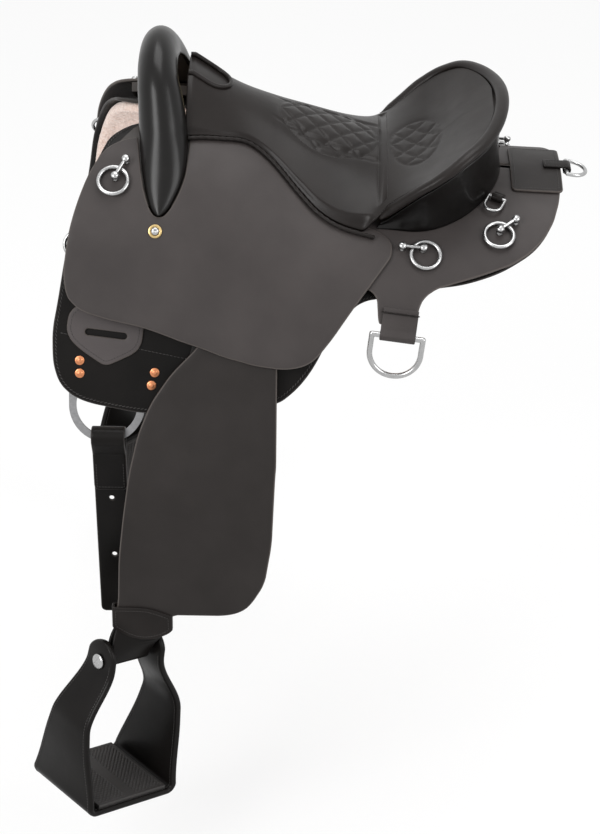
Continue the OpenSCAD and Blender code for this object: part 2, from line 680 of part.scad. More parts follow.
module on_crupper() {
    on_skin(crupper_x, 0, crupper_o) rotate([0, 0, 90]) children();
}

module crupper_loop() {
    color("#24201f") on_crupper()
        eye_loop(crupper_loop_w, crupper_wire, crupper_tongue, gusset_t / 2 + gap + facet / 4);
}

module crupper_dee() {
    color("#a9acb0") on_crupper() rotate([crupper_drop, 0, 0]) dee(crupper_w, crupper_l, crupper_wire);
}

module keepers() {
    color("#4a4542") both() on_plane(0, 0, skirt_out + gap) linear_extrude(keeper_t) difference() {
        polygon([for (p = keeper_shape) [p[0], -p[1]]]);
        for (p = keeper_slot) translate([p[0], -p[1]]) circle(r = slot_r);
        a = keeper_slot[0];
        b = keeper_slot[1];
        polygon([[a[0], slot_r - a[1]], [b[0], slot_r - b[1]],
            [b[0], -slot_r - b[1]], [a[0], -slot_r - a[1]]]);
    }
}

rig_out = skirt_out - skirt_t - gap;

module rigging_dee() {
    x = rig_at[0];
    e = rig_at[1];
    color("#6f7377") on_plane(0, 0, rig_out - rig_t) difference() {
        linear_extrude(rig_t) difference() {
            union() {
                translate([x, -e]) circle(r = rig_r, $fn = 64);
                polygon(concat([for (p = rig_plate) [x + p[0], -p[1]]], [[x + rig_r, -e], [x - rig_r, -e]]));
            }
            difference() {
                translate([x, -e]) circle(r = rig_r - rig_bar, $fn = 64);
                translate([x - rig_r, rig_web - e]) square([2 * rig_r, rig_r]);
            }
        }
        for (p = rivets) translate([p[0], -p[1], 0]) cylinder(h = 4 * rig_t, d = hole, center = true);
    }
}

module copper_rivets() {
    deep = skirt_t + rig_t + 2 * gap;
    color("#b5562f") both() for (p = rivets) on_plane(p[0], p[1], skirt_out + gap) {
        cylinder(h = rivet_h / 2, d = rivet_d);
        translate([0, 0, rivet_h / 2]) cylinder(h = rivet_h / 2, d1 = rivet_d, d2 = rivet_d * head_taper);
        translate([0, 0, -deep]) cylinder(h = deep + 0.1, d = shank_d);
    }
}

module fork_screws() {
    color("#a9acb0") both() on_skin(screw_at[0], screw_at[1], gap) {
        translate([0, 0, washer_t + gap]) cylinder(h = screw_h, d1 = screw_d, d2 = screw_d * head_taper);
        translate([0, 0, -flap_t]) cylinder(h = flap_t + washer_t + gap + 0.1, d = shank_d);
    }
}

module fork_washers() {
    color("#b79a55") both() on_skin(screw_at[0], screw_at[1], gap) difference() {
        cylinder(h = washer_t, d = washer_d);
        cylinder(h = 4 * washer_t, d = hole, center = true);
    }
}

// staple frame: local X along the bar from the outer head to the inner head, Z out of the leather
module on_staple(k, o) {
    a = k[0];
    b = k[1];
    on_skin((a[0] + b[0]) / 2, (a[1] + b[1]) / 2, o)
        rotate([0, 0, atan2(a[1] - b[1], b[0] - a[0])]) children();
}

module staple_holes(k, o, t) {
    on_staple(k, o) for (j = [-1, 1]) translate([j * staple_pitch / 2, 0, -t])
        cylinder(h = 4 * t, d = hole, center = true);
}

ring_z = 2 * gap + ring_wire / 2;
staple_z = ring_z + ring_wire / 2 + 2 * gap + staple_bar / 2;
head_z = staple_z + staple_bar / 2 + gap;
head_dome = 1.6;
front_o = gap;
rear_o = jockey_out + gap;

module staple(k, o, t) {
    on_staple(k, o) {
        for (j = [-1, 1]) translate([j * staple_pitch / 2, 0, 0]) {
            cylinder(h = head_z, d = head_d);
            translate([0, 0, head_z]) cylinder(h = head_dome, d1 = head_d, d2 = head_d * head_taper);
            translate([0, 0, -t]) cylinder(h = t + 1, d = shank_d);
        }
        translate([-staple_pitch / 2, 0, staple_z]) rotate([0, 90, 0])
            cylinder(h = staple_pitch, d = staple_bar);
    }
}

module ring_staples() {
    color("#a9acb0") both() {
        staple(front_ring, front_o, flap_t);
        staple(mid_ring, rear_o, jockey_t);
        staple(rear_ring, rear_o, jockey_t);
    }
}

module ring(k, o) {
    color("#b6b9bc") on_staple(k, o) rotate([0, 0, k[2]]) translate([ring_r, 0, ring_z])
        rotate_extrude($fn = 48) translate([ring_r, 0]) circle(d = ring_wire, $fn = 20);
}

cinch_at = [124, 286];
cinch_o = jockey_out - jockey_t / 2;
cinch_hang = 22;

module cinch_loops() {
    color("#2b2725") both() on_skin(cinch_at[0], cinch_at[1], cinch_o)
        eye_loop(cinch_loop_w, cinch_wire, cinch_tongue, jockey_t / 2 + gap);
}

module cinch_dee() {
    color("#a9acb0") on_skin(cinch_at[0], cinch_at[1], cinch_o) rotate([cinch_hang, 0, 0])
        dee(cinch_w, cinch_l, cinch_wire);
}

cantle_tab = [247, 82];
cantle_o = jockey_out + gap + loop_t + gap + cantle_wire / 2;

module cantle_tabs() {
    color("#24201f") both() on_skin(cantle_tab[0], cantle_tab[1], cantle_o) rotate([0, 0, cantle_turn])
        eye_loop(cantle_tab_w, cantle_wire, cantle_tongue, -cantle_wire / 2 - gap - loop_t);
}

module cantle_dee() {
    color("#a9acb0") on_skin(cantle_tab[0], cantle_tab[1], cantle_o) rotate([0, 0, cantle_turn])
        dee(cantle_dee_w, cantle_dee_l, cantle_wire);
}

breast_at = [-264, 234];
breast_o = skirt_out + gap + loop_t + gap + breast_wire / 2;

module breast_tabs() {
    color("#24201f") both() on_skin(breast_at[0], breast_at[1], breast_o) rotate([0, 0, -90])
        eye_loop(breast_tab_w, breast_wire, breast_tongue, -breast_wire / 2 - gap - loop_t);
}

module breast_dee() {
    color("#a9acb0") on_skin(breast_at[0], breast_at[1], breast_o) rotate([0, 0, -90])
        dee(breast_w, breast_l, breast_wire);
}

module stirrup_hangers() {
    color("#8b8f93") both() on_plane(pivot_x, pivot_e, 0) {
        translate([-hanger_w / 2, -stud_r - cap_in, hanger_out - hanger_t])
            cube([hanger_w, stud_r + cap_in + hanger_l, hanger_t]);
        translate([0, 0, hanger_out - 0.1]) cylinder(h = strap_t + 2 * gap + 0.2, r = stud_r, $fn = 64);
        translate([0, 0, strap_out + gap]) cylinder(h = cap_t, r = stud_r + cap_in);
    }
}

module fender() {
    xs = [-226, -222, -220, -214, -206, -195, -179, -158, -157, -140, -123, -103, -87, -68, -55, -46, -37,
        -32, -28, -26, -24, -23];
    rows = 9;
    function at(x, j) = mix(line(fender_top, x), line(fender_bottom, x), j / rows);
    color("#363230") slab([for (x = xs) [for (j = [0 : rows]) fend(x, at(x, j), fender_out)]],
        [for (x = xs) [for (j = [0 : rows]) fend(x, at(x, j), fender_out - fender_t)]]);
}

loop_r = bolt_d / 2 + facet / 2 + strap_t / 2;
function bolt_pt(p) = let(b = stirrup_tilt, c = stirrup_turn,
    x = p[0] * cos(b) + p[2] * sin(b), z = p[2] * cos(b) - p[0] * sin(b))
    [x * cos(c) - p[1] * sin(c), x * sin(c) + p[1] * cos(c), z];
function bolt_row(y, z, ty, tz) = [bolt_at + bolt_pt([0, y, z]), bolt_pt([1, 0, 0]), bolt_pt([0, ty, tz])];
function strap_x(e) = mix(pivot_x, neck_mid, clamp01((e - strap_turn) / (strap_flat - strap_turn)));
function strap_row(e, o) = [fend(strap_x(e), e, o), [1, 0, 0], [0, -sin(fend_a(e)), cos(fend_a(e))]];

module stirrup_leather() {
    o = strap_out - strap_t / 2;
    es = concat([pivot_e, strap_turn, 140], steps(fender_bend[0], fender_bend[1], 5),
        [strap_flat, strap_end]);
    rows = concat([for (e = es) strap_row(e, o)],
        [bolt_row(loop_r, strap_rise, -1, 0)],
        [for (a = [0 : 20 : 180]) bolt_row(loop_r * cos(a), -loop_r * sin(a), -cos(a), sin(a))],
        [bolt_row(-loop_r, strap_rise, 1, 0), strap_row(strap_end + 3, fender_out - fender_t / 2)]);
    n = len(rows) - 1;
    function side(i) = i == n ? -rows[i][2] : rows[i][2];
    function edge(i, k) = rows[i][0] + k * strap_w / 2 * rows[i][1];
    color("#2b2725") difference() {
        union() {
            slab([for (k = [-1, 1]) [for (i = [0 : n]) edge(i, k) + strap_t / 2 * side(i)]],
                [for (k = [-1, 1]) [for (i = [0 : n]) edge(i, k) - strap_t / 2 * side(i)]]);
            on_plane(pivot_x, pivot_e, strap_out - strap_t) cylinder(h = strap_t, r = tab_r);
        }
        on_plane(pivot_x, pivot_e, strap_out)
            cylinder(h = 4 * strap_t, r = stud_r + stud_clear, center = true, $fn = 64);
    }
}

// the hobble's band falls towards the rear
module hobble() {
    lo = strap_out - strap_t - gap - facet / 2;
    hi = fender_out + gap;
    w = neck[1] - neck[0] + 3 * facet;
    t = hobble_t;
    color("#24201f") translate(fend(neck_mid, hobble_e, lo)) rotate([fender_low_slope, 0, 0])
        multmatrix([[1, 0, 0, 0], [-hobble_fall, 1, 0, 0], [0, 0, 1, 0]]) difference() {
            translate([-w / 2 - t, -hobble_h / 2, -t]) cube([w + 2 * t, hobble_h, hi - lo + 2 * t]);
            translate([-w / 2, -hobble_h, 0]) cube([w, 2 * hobble_h, hi - lo]);
        }
}

panel_x = strap_w / 2 + panel_air + panel_t / 2;
sole_x = stirrup_w / 2 - panel_t / 2;
sole_z = -stirrup_h + panel_t / 2;
// middle line of the near panel, corner and half sole, as [across, height, half depth]
function leg_x(u) = panel_x + (belly_x - panel_x) * ease(panel_sway[0], panel_sway[1], u)
    + (sole_x - belly_x) * ease(panel_tuck[0], panel_tuck[1], u);
function leg_z(u) = mix(panel_top, sole_z + sole_r, u);
function leg_d(u) = let(wide = mix(panel_half, stirrup_d / 2, pow(u, panel_flare)),
    head = panel_tip + panel_head * sqrt(1 - pow(max(leg_z(u), 0) / panel_top, 2)))
    leg_z(u) > 0 ? min(wide, head) : wide;
function leg_pt(u) = [leg_x(u), leg_z(u), leg_d(u)];
function corner_pt(a) = [sole_x - sole_r * (1 - cos(a)), sole_z + sole_r * (1 - sin(a)), stirrup_d / 2];
leg_us = concat([0, 0.02, 0.06, 0.12], steps(0.19, 0.49, 5), steps(0.58, 1, 5));
half_bow = concat([for (u = leg_us) leg_pt(u)], [for (a = steps(22.5, 90, 3)) corner_pt(a)]);
bow = concat([for (p = half_bow) [-p[0], p[1], p[2]]], [[0, sole_z, stirrup_d / 2]],
    [for (i = [len(half_bow) - 1 : -1 : 0]) half_bow[i]]);

module stirrup() {
    n = len(bow) - 1;
    function nrm(i) = let(a = bow[min(i + 1, n)], b = bow[max(i - 1, 0)]) unit([a[1] - b[1], b[0] - a[0]]);
    function pt(i, k, g) = [bow[i][0] + g * nrm(i)[0], k * bow[i][2], bow[i][1] + g * nrm(i)[1]];
    color("#24201f") on_bolt() difference() {
        slab([for (i = [0 : n]) [for (k = [1, 0, -1]) pt(i, k, -panel_t / 2)]],
            [for (i = [0 : n]) [for (k = [1, 0, -1]) pt(i, k, panel_t / 2)]]);
        rotate([0, 90, 0]) cylinder(h = reach, d = bolt_d + 2 * gap, center = true);
    }
}

module tread() {
    w = 2 * (sole_x - panel_t / 2 - tread_side);
    d = stirrup_d - 2 * tread_in;
    color("#1d1b1a") on_bolt() translate([0, 0, sole_z + panel_t / 2 + gap]) difference() {
        translate([-w / 2, -d / 2, 0]) cube([w, d, tread_t]);
        for (k = [-1 : 0.4 : 1]) translate([k * (w / 2 - tread_land), 0, tread_t])
            cube([groove_w, 2 * d, groove_w], center = true);
        for (k = [-1 : 0.4 : 1]) translate([0, k * (d / 2 - tread_land), tread_t])
            cube([2 * w, groove_w, groove_w], center = true);
    }
}

module bolt() {
    l = panel_x + panel_t / 2 + bolt_air;
    color("#a9acb0") on_bolt() rotate([0, 90, 0]) {
        cylinder(h = 2 * l, d = bolt_d, center = true);
        for (k = [-1, 1]) translate([0, 0, k * l]) rotate([0, k * 90 - 90, 0]) {
            cylinder(h = bolt_head / 2, d = 2 * bolt_d);
            translate([0, 0, bolt_head / 2]) cylinder(h = bolt_head / 2, d1 = 2 * bolt_d, d2 = bolt_d);
        }
    }
}

latigo_x = rig_at[0] + 2;
latigo_e = rig_at[1] + rig_r - rig_bar / 2 - latigo_sag;
latigo_in = norm([rig_bar / 2 + latigo_sag, rig_t / 2]) + latigo_sag + gap;

module latigo() {
    p = fend(latigo_x, latigo_e, rig_out - rig_t / 2);
    ro = latigo_in + latigo_t;
    color("#2b2725") translate(p) difference() {
        translate([-latigo_w / 2, 0, 0]) rotate([90, 0, 90]) linear_extrude(latigo_w) difference() {
            union() {
                circle(r = ro, $fn = 48);
                translate([-latigo_t, -fold_l]) square([2 * latigo_t, fold_l]);
                translate([0, -latigo_l]) square([latigo_t, latigo_l]);
            }
            circle(r = latigo_in, $fn = 48);
        }
        for (k = [0, 1]) translate([0, latigo_t / 2, -fold_l - hole_start - k * hole_pitch])
            rotate([90, 0, 0]) cylinder(h = 4 * latigo_t, d = hole_d, center = true);
    }
}

tree_fork();
tree_bars();
tree_cantle();
ground_seat();
seat_foam();
seat_cover();
hold_roll();
cantle_roll();
cantle_back();
pommel_cover();
seat_welt();
flap();  // near_flap
off() flap();  // off_flap
skirt();  // near_skirt
off() skirt();  // off_skirt
jockey();  // near_jockey
off() jockey();  // off_jockey
fleece();  // near_fleece
off() fleece();  // off_fleece
crupper_gusset();
crupper_loop();
crupper_dee();
keepers();
rigging_dee();  // near_rigging_dee
off() rigging_dee();  // off_rigging_dee
copper_rivets();
fork_screws();
fork_washers();
ring_staples();
ring(front_ring, front_o);  // near_front_ring
off() ring(front_ring, front_o);  // off_front_ring
ring(mid_ring, rear_o);  // near_mid_ring
off() ring(mid_ring, rear_o);  // off_mid_ring
ring(rear_ring, rear_o);  // near_rear_ring
off() ring(rear_ring, rear_o);  // off_rear_ring
cinch_loops();
cinch_dee();  // near_cinch_dee
off() cinch_dee();  // off_cinch_dee
cantle_tabs();
cantle_dee();  // near_cantle_dee
off() cantle_dee();  // off_cantle_dee
breast_tabs();
breast_dee();  // near_breast_dee
off() breast_dee();  // off_breast_dee
stirrup_hangers();
fender();  // near_fender
off() fender();  // off_fender
stirrup_leather();  // near_leather
off() stirrup_leather();  // off_leather
hobble();  // near_hobble
off() hobble();  // off_hobble
stirrup();  // near_stirrup
off() stirrup();  // off_stirrup
tread();  // near_tread
off() tread();  // off_tread
bolt();  // near_bolt
off() bolt();  // off_bolt
latigo();  // near_latigo
off() latigo();  // off_latigo
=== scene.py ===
import math
import bmesh
import bpy
import numpy as np
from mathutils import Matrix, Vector
from mathutils.geometry import delaunay_2d_cdt


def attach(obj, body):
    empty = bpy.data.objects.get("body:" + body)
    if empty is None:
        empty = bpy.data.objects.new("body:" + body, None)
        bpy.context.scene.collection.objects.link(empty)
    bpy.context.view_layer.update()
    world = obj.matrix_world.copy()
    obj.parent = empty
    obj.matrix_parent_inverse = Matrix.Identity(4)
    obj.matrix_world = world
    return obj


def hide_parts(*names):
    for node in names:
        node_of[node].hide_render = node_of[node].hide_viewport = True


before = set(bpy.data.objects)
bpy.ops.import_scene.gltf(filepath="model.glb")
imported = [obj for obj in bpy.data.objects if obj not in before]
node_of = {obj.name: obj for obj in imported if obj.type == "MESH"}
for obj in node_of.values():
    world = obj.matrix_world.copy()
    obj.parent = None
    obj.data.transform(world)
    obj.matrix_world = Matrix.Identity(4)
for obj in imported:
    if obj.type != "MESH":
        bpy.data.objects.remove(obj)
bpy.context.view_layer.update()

# The stage: a pale floor below the hanging stirrups, soft studio light from the camera's left, right and
# above, and a long-lens camera looking down on the near side.
scene = bpy.context.scene
scene.view_settings.view_transform = "Standard"
floor_z, floor_half = -0.78, 9.0
aim = Vector((0.0026, -0.150, -0.212))
eye = Vector((0.0692, -2.6933, 1.3778))


def new_material(name):
    """An empty node material with a Principled surface; returns material, tree and shader."""
    m = bpy.data.materials.new(name)
    m.use_nodes = True
    t = m.node_tree
    t.nodes.clear()
    end = t.nodes.new("ShaderNodeOutputMaterial")
    b = t.nodes.new("ShaderNodeBsdfPrincipled")
    t.links.new(b.outputs[0], end.inputs[0])
    return m, t, b


def look_at(ob, point):
    """Turns a lamp or the camera so that its minus Z runs to the point."""
    ob.rotation_euler = (Vector(point) - ob.location).to_track_quat("-Z", "Y").to_euler()


camera = bpy.data.objects.new("camera", bpy.data.cameras.new("camera"))
scene.collection.objects.link(camera)
camera.data.lens = 100.36
camera.data.sensor_width = 36.0
camera.location = eye
look_at(camera, aim)
scene.camera = camera


def soft_lamp(name, place, size, watts):
    """A square soft box aimed at the middle of the saddle."""
    data = bpy.data.lights.new(name, "AREA")
    data.size = size
    data.energy = watts
    ob = bpy.data.objects.new(name, data)
    scene.collection.objects.link(ob)
    ob.location = place
    look_at(ob, (0.0, 0.0, -0.1))


soft_lamp("lamp_left", place=(-2.2, -2.4, 2.0), size=1.6, watts=75.0)
soft_lamp("lamp_right", place=(2.6, -1.6, 1.5), size=1.8, watts=45.0)
soft_lamp("lamp_top", place=(0.2, 0.6, 3.2), size=2.2, watts=60.0)


def spread(tree, value, low, high):
    """Maps a 0 to 1 value onto low to high."""
    m = tree.nodes.new("ShaderNodeMapRange")
    m.inputs["To Min"].default_value = low
    m.inputs["To Max"].default_value = high
    tree.links.new(value, m.inputs["Value"])
    return m.outputs["Result"]


def white_rays(tree):
    """1 for rays from the camera, off gloss and through
    glass, which meet the white studio; 0 for soft light."""
    path = tree.nodes.new("ShaderNodeLightPath")
    total = path.outputs["Is Camera Ray"]
    for kind in ("Is Glossy Ray", "Is Transmission Ray"):
        add = tree.nodes.new("ShaderNodeMath")
        add.use_clamp = True
        tree.links.new(total, add.inputs[0])
        tree.links.new(path.outputs[kind], add.inputs[1])
        total = add.outputs[0]
    return total


world = bpy.data.worlds.new("studio")
scene.world = world
world.use_nodes = True
sky = world.node_tree
sky.nodes.clear()
sky_out = sky.nodes.new("ShaderNodeOutputWorld")
sky_mix = sky.nodes.new("ShaderNodeMixShader")
for place, level in ((1, 0.5), (2, 1.0)):
    shade = sky.nodes.new("ShaderNodeBackground")
    shade.inputs["Color"].default_value = (1.0, 1.0, 1.0, 1.0)
    shade.inputs["Strength"].default_value = level
    sky.links.new(shade.outputs[0], sky_mix.inputs[place])
sky.links.new(white_rays(sky), sky_mix.inputs[0])
sky.links.new(sky_mix.outputs[0], sky_out.inputs[0])

floor_mesh = bpy.data.meshes.new("floor")
floor_corners = [(x * floor_half, y * floor_half, floor_z) for x, y in ((-1, -1), (1, -1), (1, 1), (-1, 1))]
floor_mesh.from_pydata(floor_corners, [], [(0, 1, 2, 3)])
floor = bpy.data.objects.new("floor", floor_mesh)
scene.collection.objects.link(floor)
pale, pale_tree, pale_b = new_material("pale_floor")
pale_b.inputs["Base Color"].default_value = (0.93, 0.93, 0.93, 1.0)
pale_b.inputs["Roughness"].default_value = 0.9
pale_glow = pale_tree.nodes.new("ShaderNodeEmission")
pale_mix = pale_tree.nodes.new("ShaderNodeMixShader")
pale_tree.links.new(spread(pale_tree, white_rays(pale_tree), 0.0, 0.8), pale_mix.inputs[0])
pale_tree.links.new(pale_b.outputs[0], pale_mix.inputs[1])
pale_tree.links.new(pale_glow.outputs[0], pale_mix.inputs[2])
pale_tree.links.new(pale_mix.outputs[0], pale_tree.nodes["Material Output"].inputs[0])
floor_mesh.materials.append(pale)

# The tree: fork, two bars and cantle board, sawn and glued from hardwood, sanded and sealed with dark
# lacquer. Flat steel hanger plates are screwed to the bars, and a stiff hide ground seat is tacked over
# them.


def ramp(tree, stops):
    """A colour ramp through (place, colour) stops."""
    r = tree.nodes.new("ShaderNodeValToRGB")
    r.color_ramp.elements[0].position, r.color_ramp.elements[0].color = stops[0][0], (*stops[0][1], 1.0)
    r.color_ramp.elements[1].position, r.color_ramp.elements[1].color = stops[-1][0], (*stops[-1][1], 1.0)
    for place, colour in stops[1:-1]:
        r.color_ramp.elements.new(place).color = (*colour, 1.0)
    return r


def noise(tree, scale, detail, stretch=None):
    """Noise on Object coordinates, with an optional stretch along the axes."""
    n = tree.nodes.new("ShaderNodeTexNoise")
    n.inputs["Scale"].default_value = scale
    n.inputs["Detail"].default_value = detail
    c = tree.nodes.new("ShaderNodeTexCoord")
    if stretch:
        p = tree.nodes.new("ShaderNodeMapping")
        p.inputs["Scale"].default_value = stretch
        tree.links.new(c.outputs["Object"], p.inputs[0])
        tree.links.new(p.outputs[0], n.inputs["Vector"])
    else:
        tree.links.new(c.outputs["Object"], n.inputs["Vector"])
    return n


def bumped(tree, shader, height, strength, depth, under=None):
    """Puts a height through a Bump node into the shader's normal; depth in metres."""
    b = tree.nodes.new("ShaderNodeBump")
    b.inputs["Strength"].default_value = strength
    b.inputs["Distance"].default_value = depth
    tree.links.new(height, b.inputs["Height"])
    if under is not None:
        tree.links.new(under, b.inputs["Normal"])
    tree.links.new(b.outputs[0], shader.inputs["Normal"])
    return b.outputs[0]


def mottled(name, scale, detail, tones, rough, strength, depth, stretch=None):
    """A material of one noise, which runs its colour through the tones and dents its surface. Its
    roughness is one value, or a pair between which the noise spreads it. Returns material and shader."""
    m, t, b = new_material(name)
    n = noise(t, scale, detail, stretch)
    tone = ramp(t, tones)
    t.links.new(n.outputs["Fac"], tone.inputs[0])
    t.links.new(tone.outputs[0], b.inputs["Base Color"])
    if isinstance(rough, tuple):
        t.links.new(spread(t, n.outputs["Fac"], *rough), b.inputs["Roughness"])
    else:
        b.inputs["Roughness"].default_value = rough
    bumped(t, b, n.outputs["Fac"], strength, depth)
    return m, b


wood_tones = [(0.3, (0.011, 0.0074, 0.0052)), (0.5, (0.017, 0.0115, 0.0080)),
              (0.72, (0.026, 0.0178, 0.0125))]
wood, _ = mottled("tree_wood", scale=14.0, detail=6.0, tones=wood_tones, rough=(0.45, 0.65), strength=0.25,
                  depth=0.0006, stretch=(0.6, 6.0, 6.0))


def dress(names, material):
    """Gives nodes of the frame a material."""
    for name in names:
        ob = node_of[name]
        ob.data.materials.clear()
        ob.data.materials.append(material)


dress(["tree_fork", "tree_bars", "tree_cantle"], wood)


def leather(name, dark, pale_tone, rough, gloss=0.0, shine=0.3, grain=900.0, depth=0.00025,
            edge=(0.075, 0.064, 0.058)):
    """Finished leather: soft mottling between two tones, a pebbled pore grain,
    and a paler burnished cut edge where the piece's edge attribute rises to 1."""
    m, t, b = new_material(name)
    mottle = noise(t, 16.0, 5.0)
    tone = ramp(t, [(0.30, dark), (0.72, pale_tone)])
    t.links.new(mottle.outputs["Fac"], tone.inputs[0])
    at = t.nodes.new("ShaderNodeAttribute")
    at.attribute_name = "edge"
    mix = t.nodes.new("ShaderNodeMix")
    mix.data_type = "RGBA"
    t.links.new(at.outputs["Fac"], mix.inputs["Factor"])
    t.links.new(tone.outputs[0], mix.inputs["A"])
    mix.inputs["B"].default_value = (*edge, 1.0)
    t.links.new(mix.outputs["Result"], b.inputs["Base Color"])
    pores = t.nodes.new("ShaderNodeTexVoronoi")
    pores.inputs["Scale"].default_value = grain
    c = t.nodes.new("ShaderNodeTexCoord")
    t.links.new(c.outputs["Object"], pores.inputs["Vector"])
    creases = noise(t, 120.0, 4.0)
    first = bumped(t, b, pores.outputs["Distance"], 0.35, depth)
    bumped(t, b, creases.outputs["Fac"], 0.25, depth * 2.0, first)
    smear = noise(t, 40.0, 3.0)
    t.links.new(spread(t, smear.outputs["Fac"], rough - 0.07, rough + 0.09), b.inputs["Roughness"])
    b.inputs["Specular IOR Level"].default_value = shine
    b.inputs["Coat Weight"].default_value = gloss
    b.inputs["Coat Roughness"].default_value = 0.24
    return m


hide_board = leather("stiff_hide", (0.014, 0.0105, 0.008), (0.024, 0.018, 0.014), rough=0.7,
                     edge=(0.03, 0.023, 0.018))
dress(["ground_seat"], hide_board)


def metal(name, colour, rough, scratch):
    """Metal with fine tumbling scratches that vary its roughness and dent its surface slightly."""
    tones = [(0.25, tuple(0.82 * v for v in colour)), (0.7, colour)]
    m, b = mottled(name, scale=scratch, detail=6.0, tones=tones, rough=(rough - 0.06, rough + 0.08),
                   strength=0.12, depth=0.0001, stretch=(1.0, 4.0, 1.0))
    b.inputs["Metallic"].default_value = 1.0
    return m


plate_steel = metal("plate_steel", (0.27, 0.27, 0.275), rough=0.38, scratch=220.0)
dress(["stirrup_hangers", "near_rigging_dee", "off_rigging_dee"], plate_steel)

# The fleece lining: cream shearling glued and sewn under each skirt, its pile standing about 14 mm deep
# and bunched in small tufts. It stops above the rigging plate.
slope = math.radians(66.0)
side_plane = 194.8
radius_stations = [(-320, 211), (-140, 211), (-65, 224), (0, 245), (30, 251), (60, 254), (150, 264),
                   (260, 272), (345, 275)]


def curve(stations, x):
    """Smooth curve through stations: a cubic Hermite whose
    slopes are the chords of the neighbouring stations."""
    p = np.asarray(stations, float)
    xs, ys = p[:, 0], p[:, 1]
    g = np.gradient(ys)
    g[1:-1] = (ys[2:] - ys[:-2]) / (xs[2:] - xs[:-2])
    g[0], g[-1] = (ys[1] - ys[0]) / (xs[1] - xs[0]), (ys[-1] - ys[-2]) / (xs[-1] - xs[-2])
    x = np.asarray(x, float)
    i = np.clip(np.searchsorted(xs, x, side="right") - 1, 0, len(xs) - 2)
    h = xs[i + 1] - xs[i]
    t = np.clip((x - xs[i]) / h, 0, 1)
    u = 1 - t
    return ys[i] * u * u * (1 + 2 * t) + ys[i + 1] * t * t * (1 + 2 * u) + h * t * u * (g[i] * u
                                                                                        - g[i + 1] * t)


def ease(a, b, v):
    """Smooth step from 0 at a to 1 at b."""
    t = np.clip((np.asarray(v, float) - a) / (b - a), 0, 1)
    return t * t * (3 - 2 * t)


def on_side(x, s, o):
    """Side form, near side, in mm: an arc of radius r(x) over the back to 66 degrees, then the plane
    tangent to it. s runs down over the side from the midline and o stands out of the surface."""
    r = curve(radius_stations, x)
    c = (side_plane - r) / math.cos(slope)
    t = s / r
    a = np.clip(t, -slope, slope)
    e = np.abs(t - a) * r
    return np.stack([x + 0 * a, -((r + o) * np.sin(a) + e * math.cos(slope) * np.sign(a)),
                     c + (r + o) * np.cos(a) - e * math.sin(slope)], -1)


def run_along(path):
    """Distance run along a path at each of its points."""
    return np.r_[0, np.cumsum(np.linalg.norm(np.diff(path, axis=0), axis=1))]


def cut_loop(points, step=2.5, cut=(7.0, 3.0)):
    """Closed cutting line: corners are clipped twice, by at most the given lengths, then spaced evenly."""
    p = np.asarray(points, float)
    if np.sum(p[:, 0] * np.roll(p[:, 1], -1) - np.roll(p[:, 0], -1) * p[:, 1]) < 0:
        p = p[::-1]
    for c in cut:
        q = np.roll(p, -1, 0)
        l = np.linalg.norm(q - p, axis=1, keepdims=True) + 1e-9
        k = np.minimum(0.25, c / l)
        p = np.stack([p + (q - p) * k, q - (q - p) * k], 1).reshape(-1, 2)
    q = np.vstack([p, p[:1]])
    d = run_along(q)
    t = np.linspace(0, d[-1], max(12, int(d[-1] / step)), endpoint=False)
    return np.stack([np.interp(t, d, q[:, 0]), np.interp(t, d, q[:, 1])], 1)


def inset(loop, d):
    """The loop moved in by d along its own normals."""
    t = np.roll(loop, -1, 0) - np.roll(loop, 1, 0)
    t /= np.linalg.norm(t, axis=1, keepdims=True) + 1e-9
    return loop + d * np.stack([-t[:, 1], t[:, 0]], 1)


def inside(points, loop):
    """Even-odd test of many points against one loop."""
    x, y = points[:, :1], points[:, 1:]
    a, b = loop, np.roll(loop, -1, 0)
    spans = (a[:, 1] > y) != (b[:, 1] > y)
    meets = (b[:, 0] - a[:, 0]) * (y - a[:, 1]) / (b[:, 1] - a[:, 1] + 1e-12) + a[:, 0]
    return (spans & (x < meets)).sum(1) % 2 == 1


def quads(n, m, wrap_n=False, wrap_m=False):
    """Faces of an n by m grid, closed in either direction if asked."""
    i, j = np.meshgrid(np.arange(n if wrap_n else n - 1), np.arange(m if wrap_m else m - 1), indexing="ij")
    k, l = (i + 1) % n, (j + 1) % m
    return np.stack([i * m + j, k * m + j, k * m + l, i * m + l], -1).reshape(-1, 4)


def put(name, points, faces, material, body, nodes=(), slot=None, edge=None, mirror=False, turn=True):
    """Puts points in mm and faces into a mesh at the origin,
    seats it on its body and hides the nodes it stands for."""
    p = np.asarray(points, float) * 0.001
    if mirror:
        p = p * (1.0, -1.0, 1.0)
    me = bpy.data.meshes.new(name)
    me.from_pydata(p.tolist(), [], [list(map(int, f)) for f in faces])
    if edge is not None:
        me.attributes.new("edge", "FLOAT", "POINT").data.foreach_set("value", np.asarray(edge, np.float32))
    if turn:
        bm = bmesh.new()
        bm.from_mesh(me)
        bmesh.ops.recalc_face_normals(bm, faces=bm.faces)
        bm.to_mesh(me)
        bm.free()
    me.polygons.foreach_set("use_smooth", np.ones(len(me.polygons), bool))
    me.materials.append(material)
    me.update()
    ob = bpy.data.objects.new(name, me)
    scene.collection.objects.link(ob)
    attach(ob, body)
    if nodes:
        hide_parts(*nodes)
    return ob


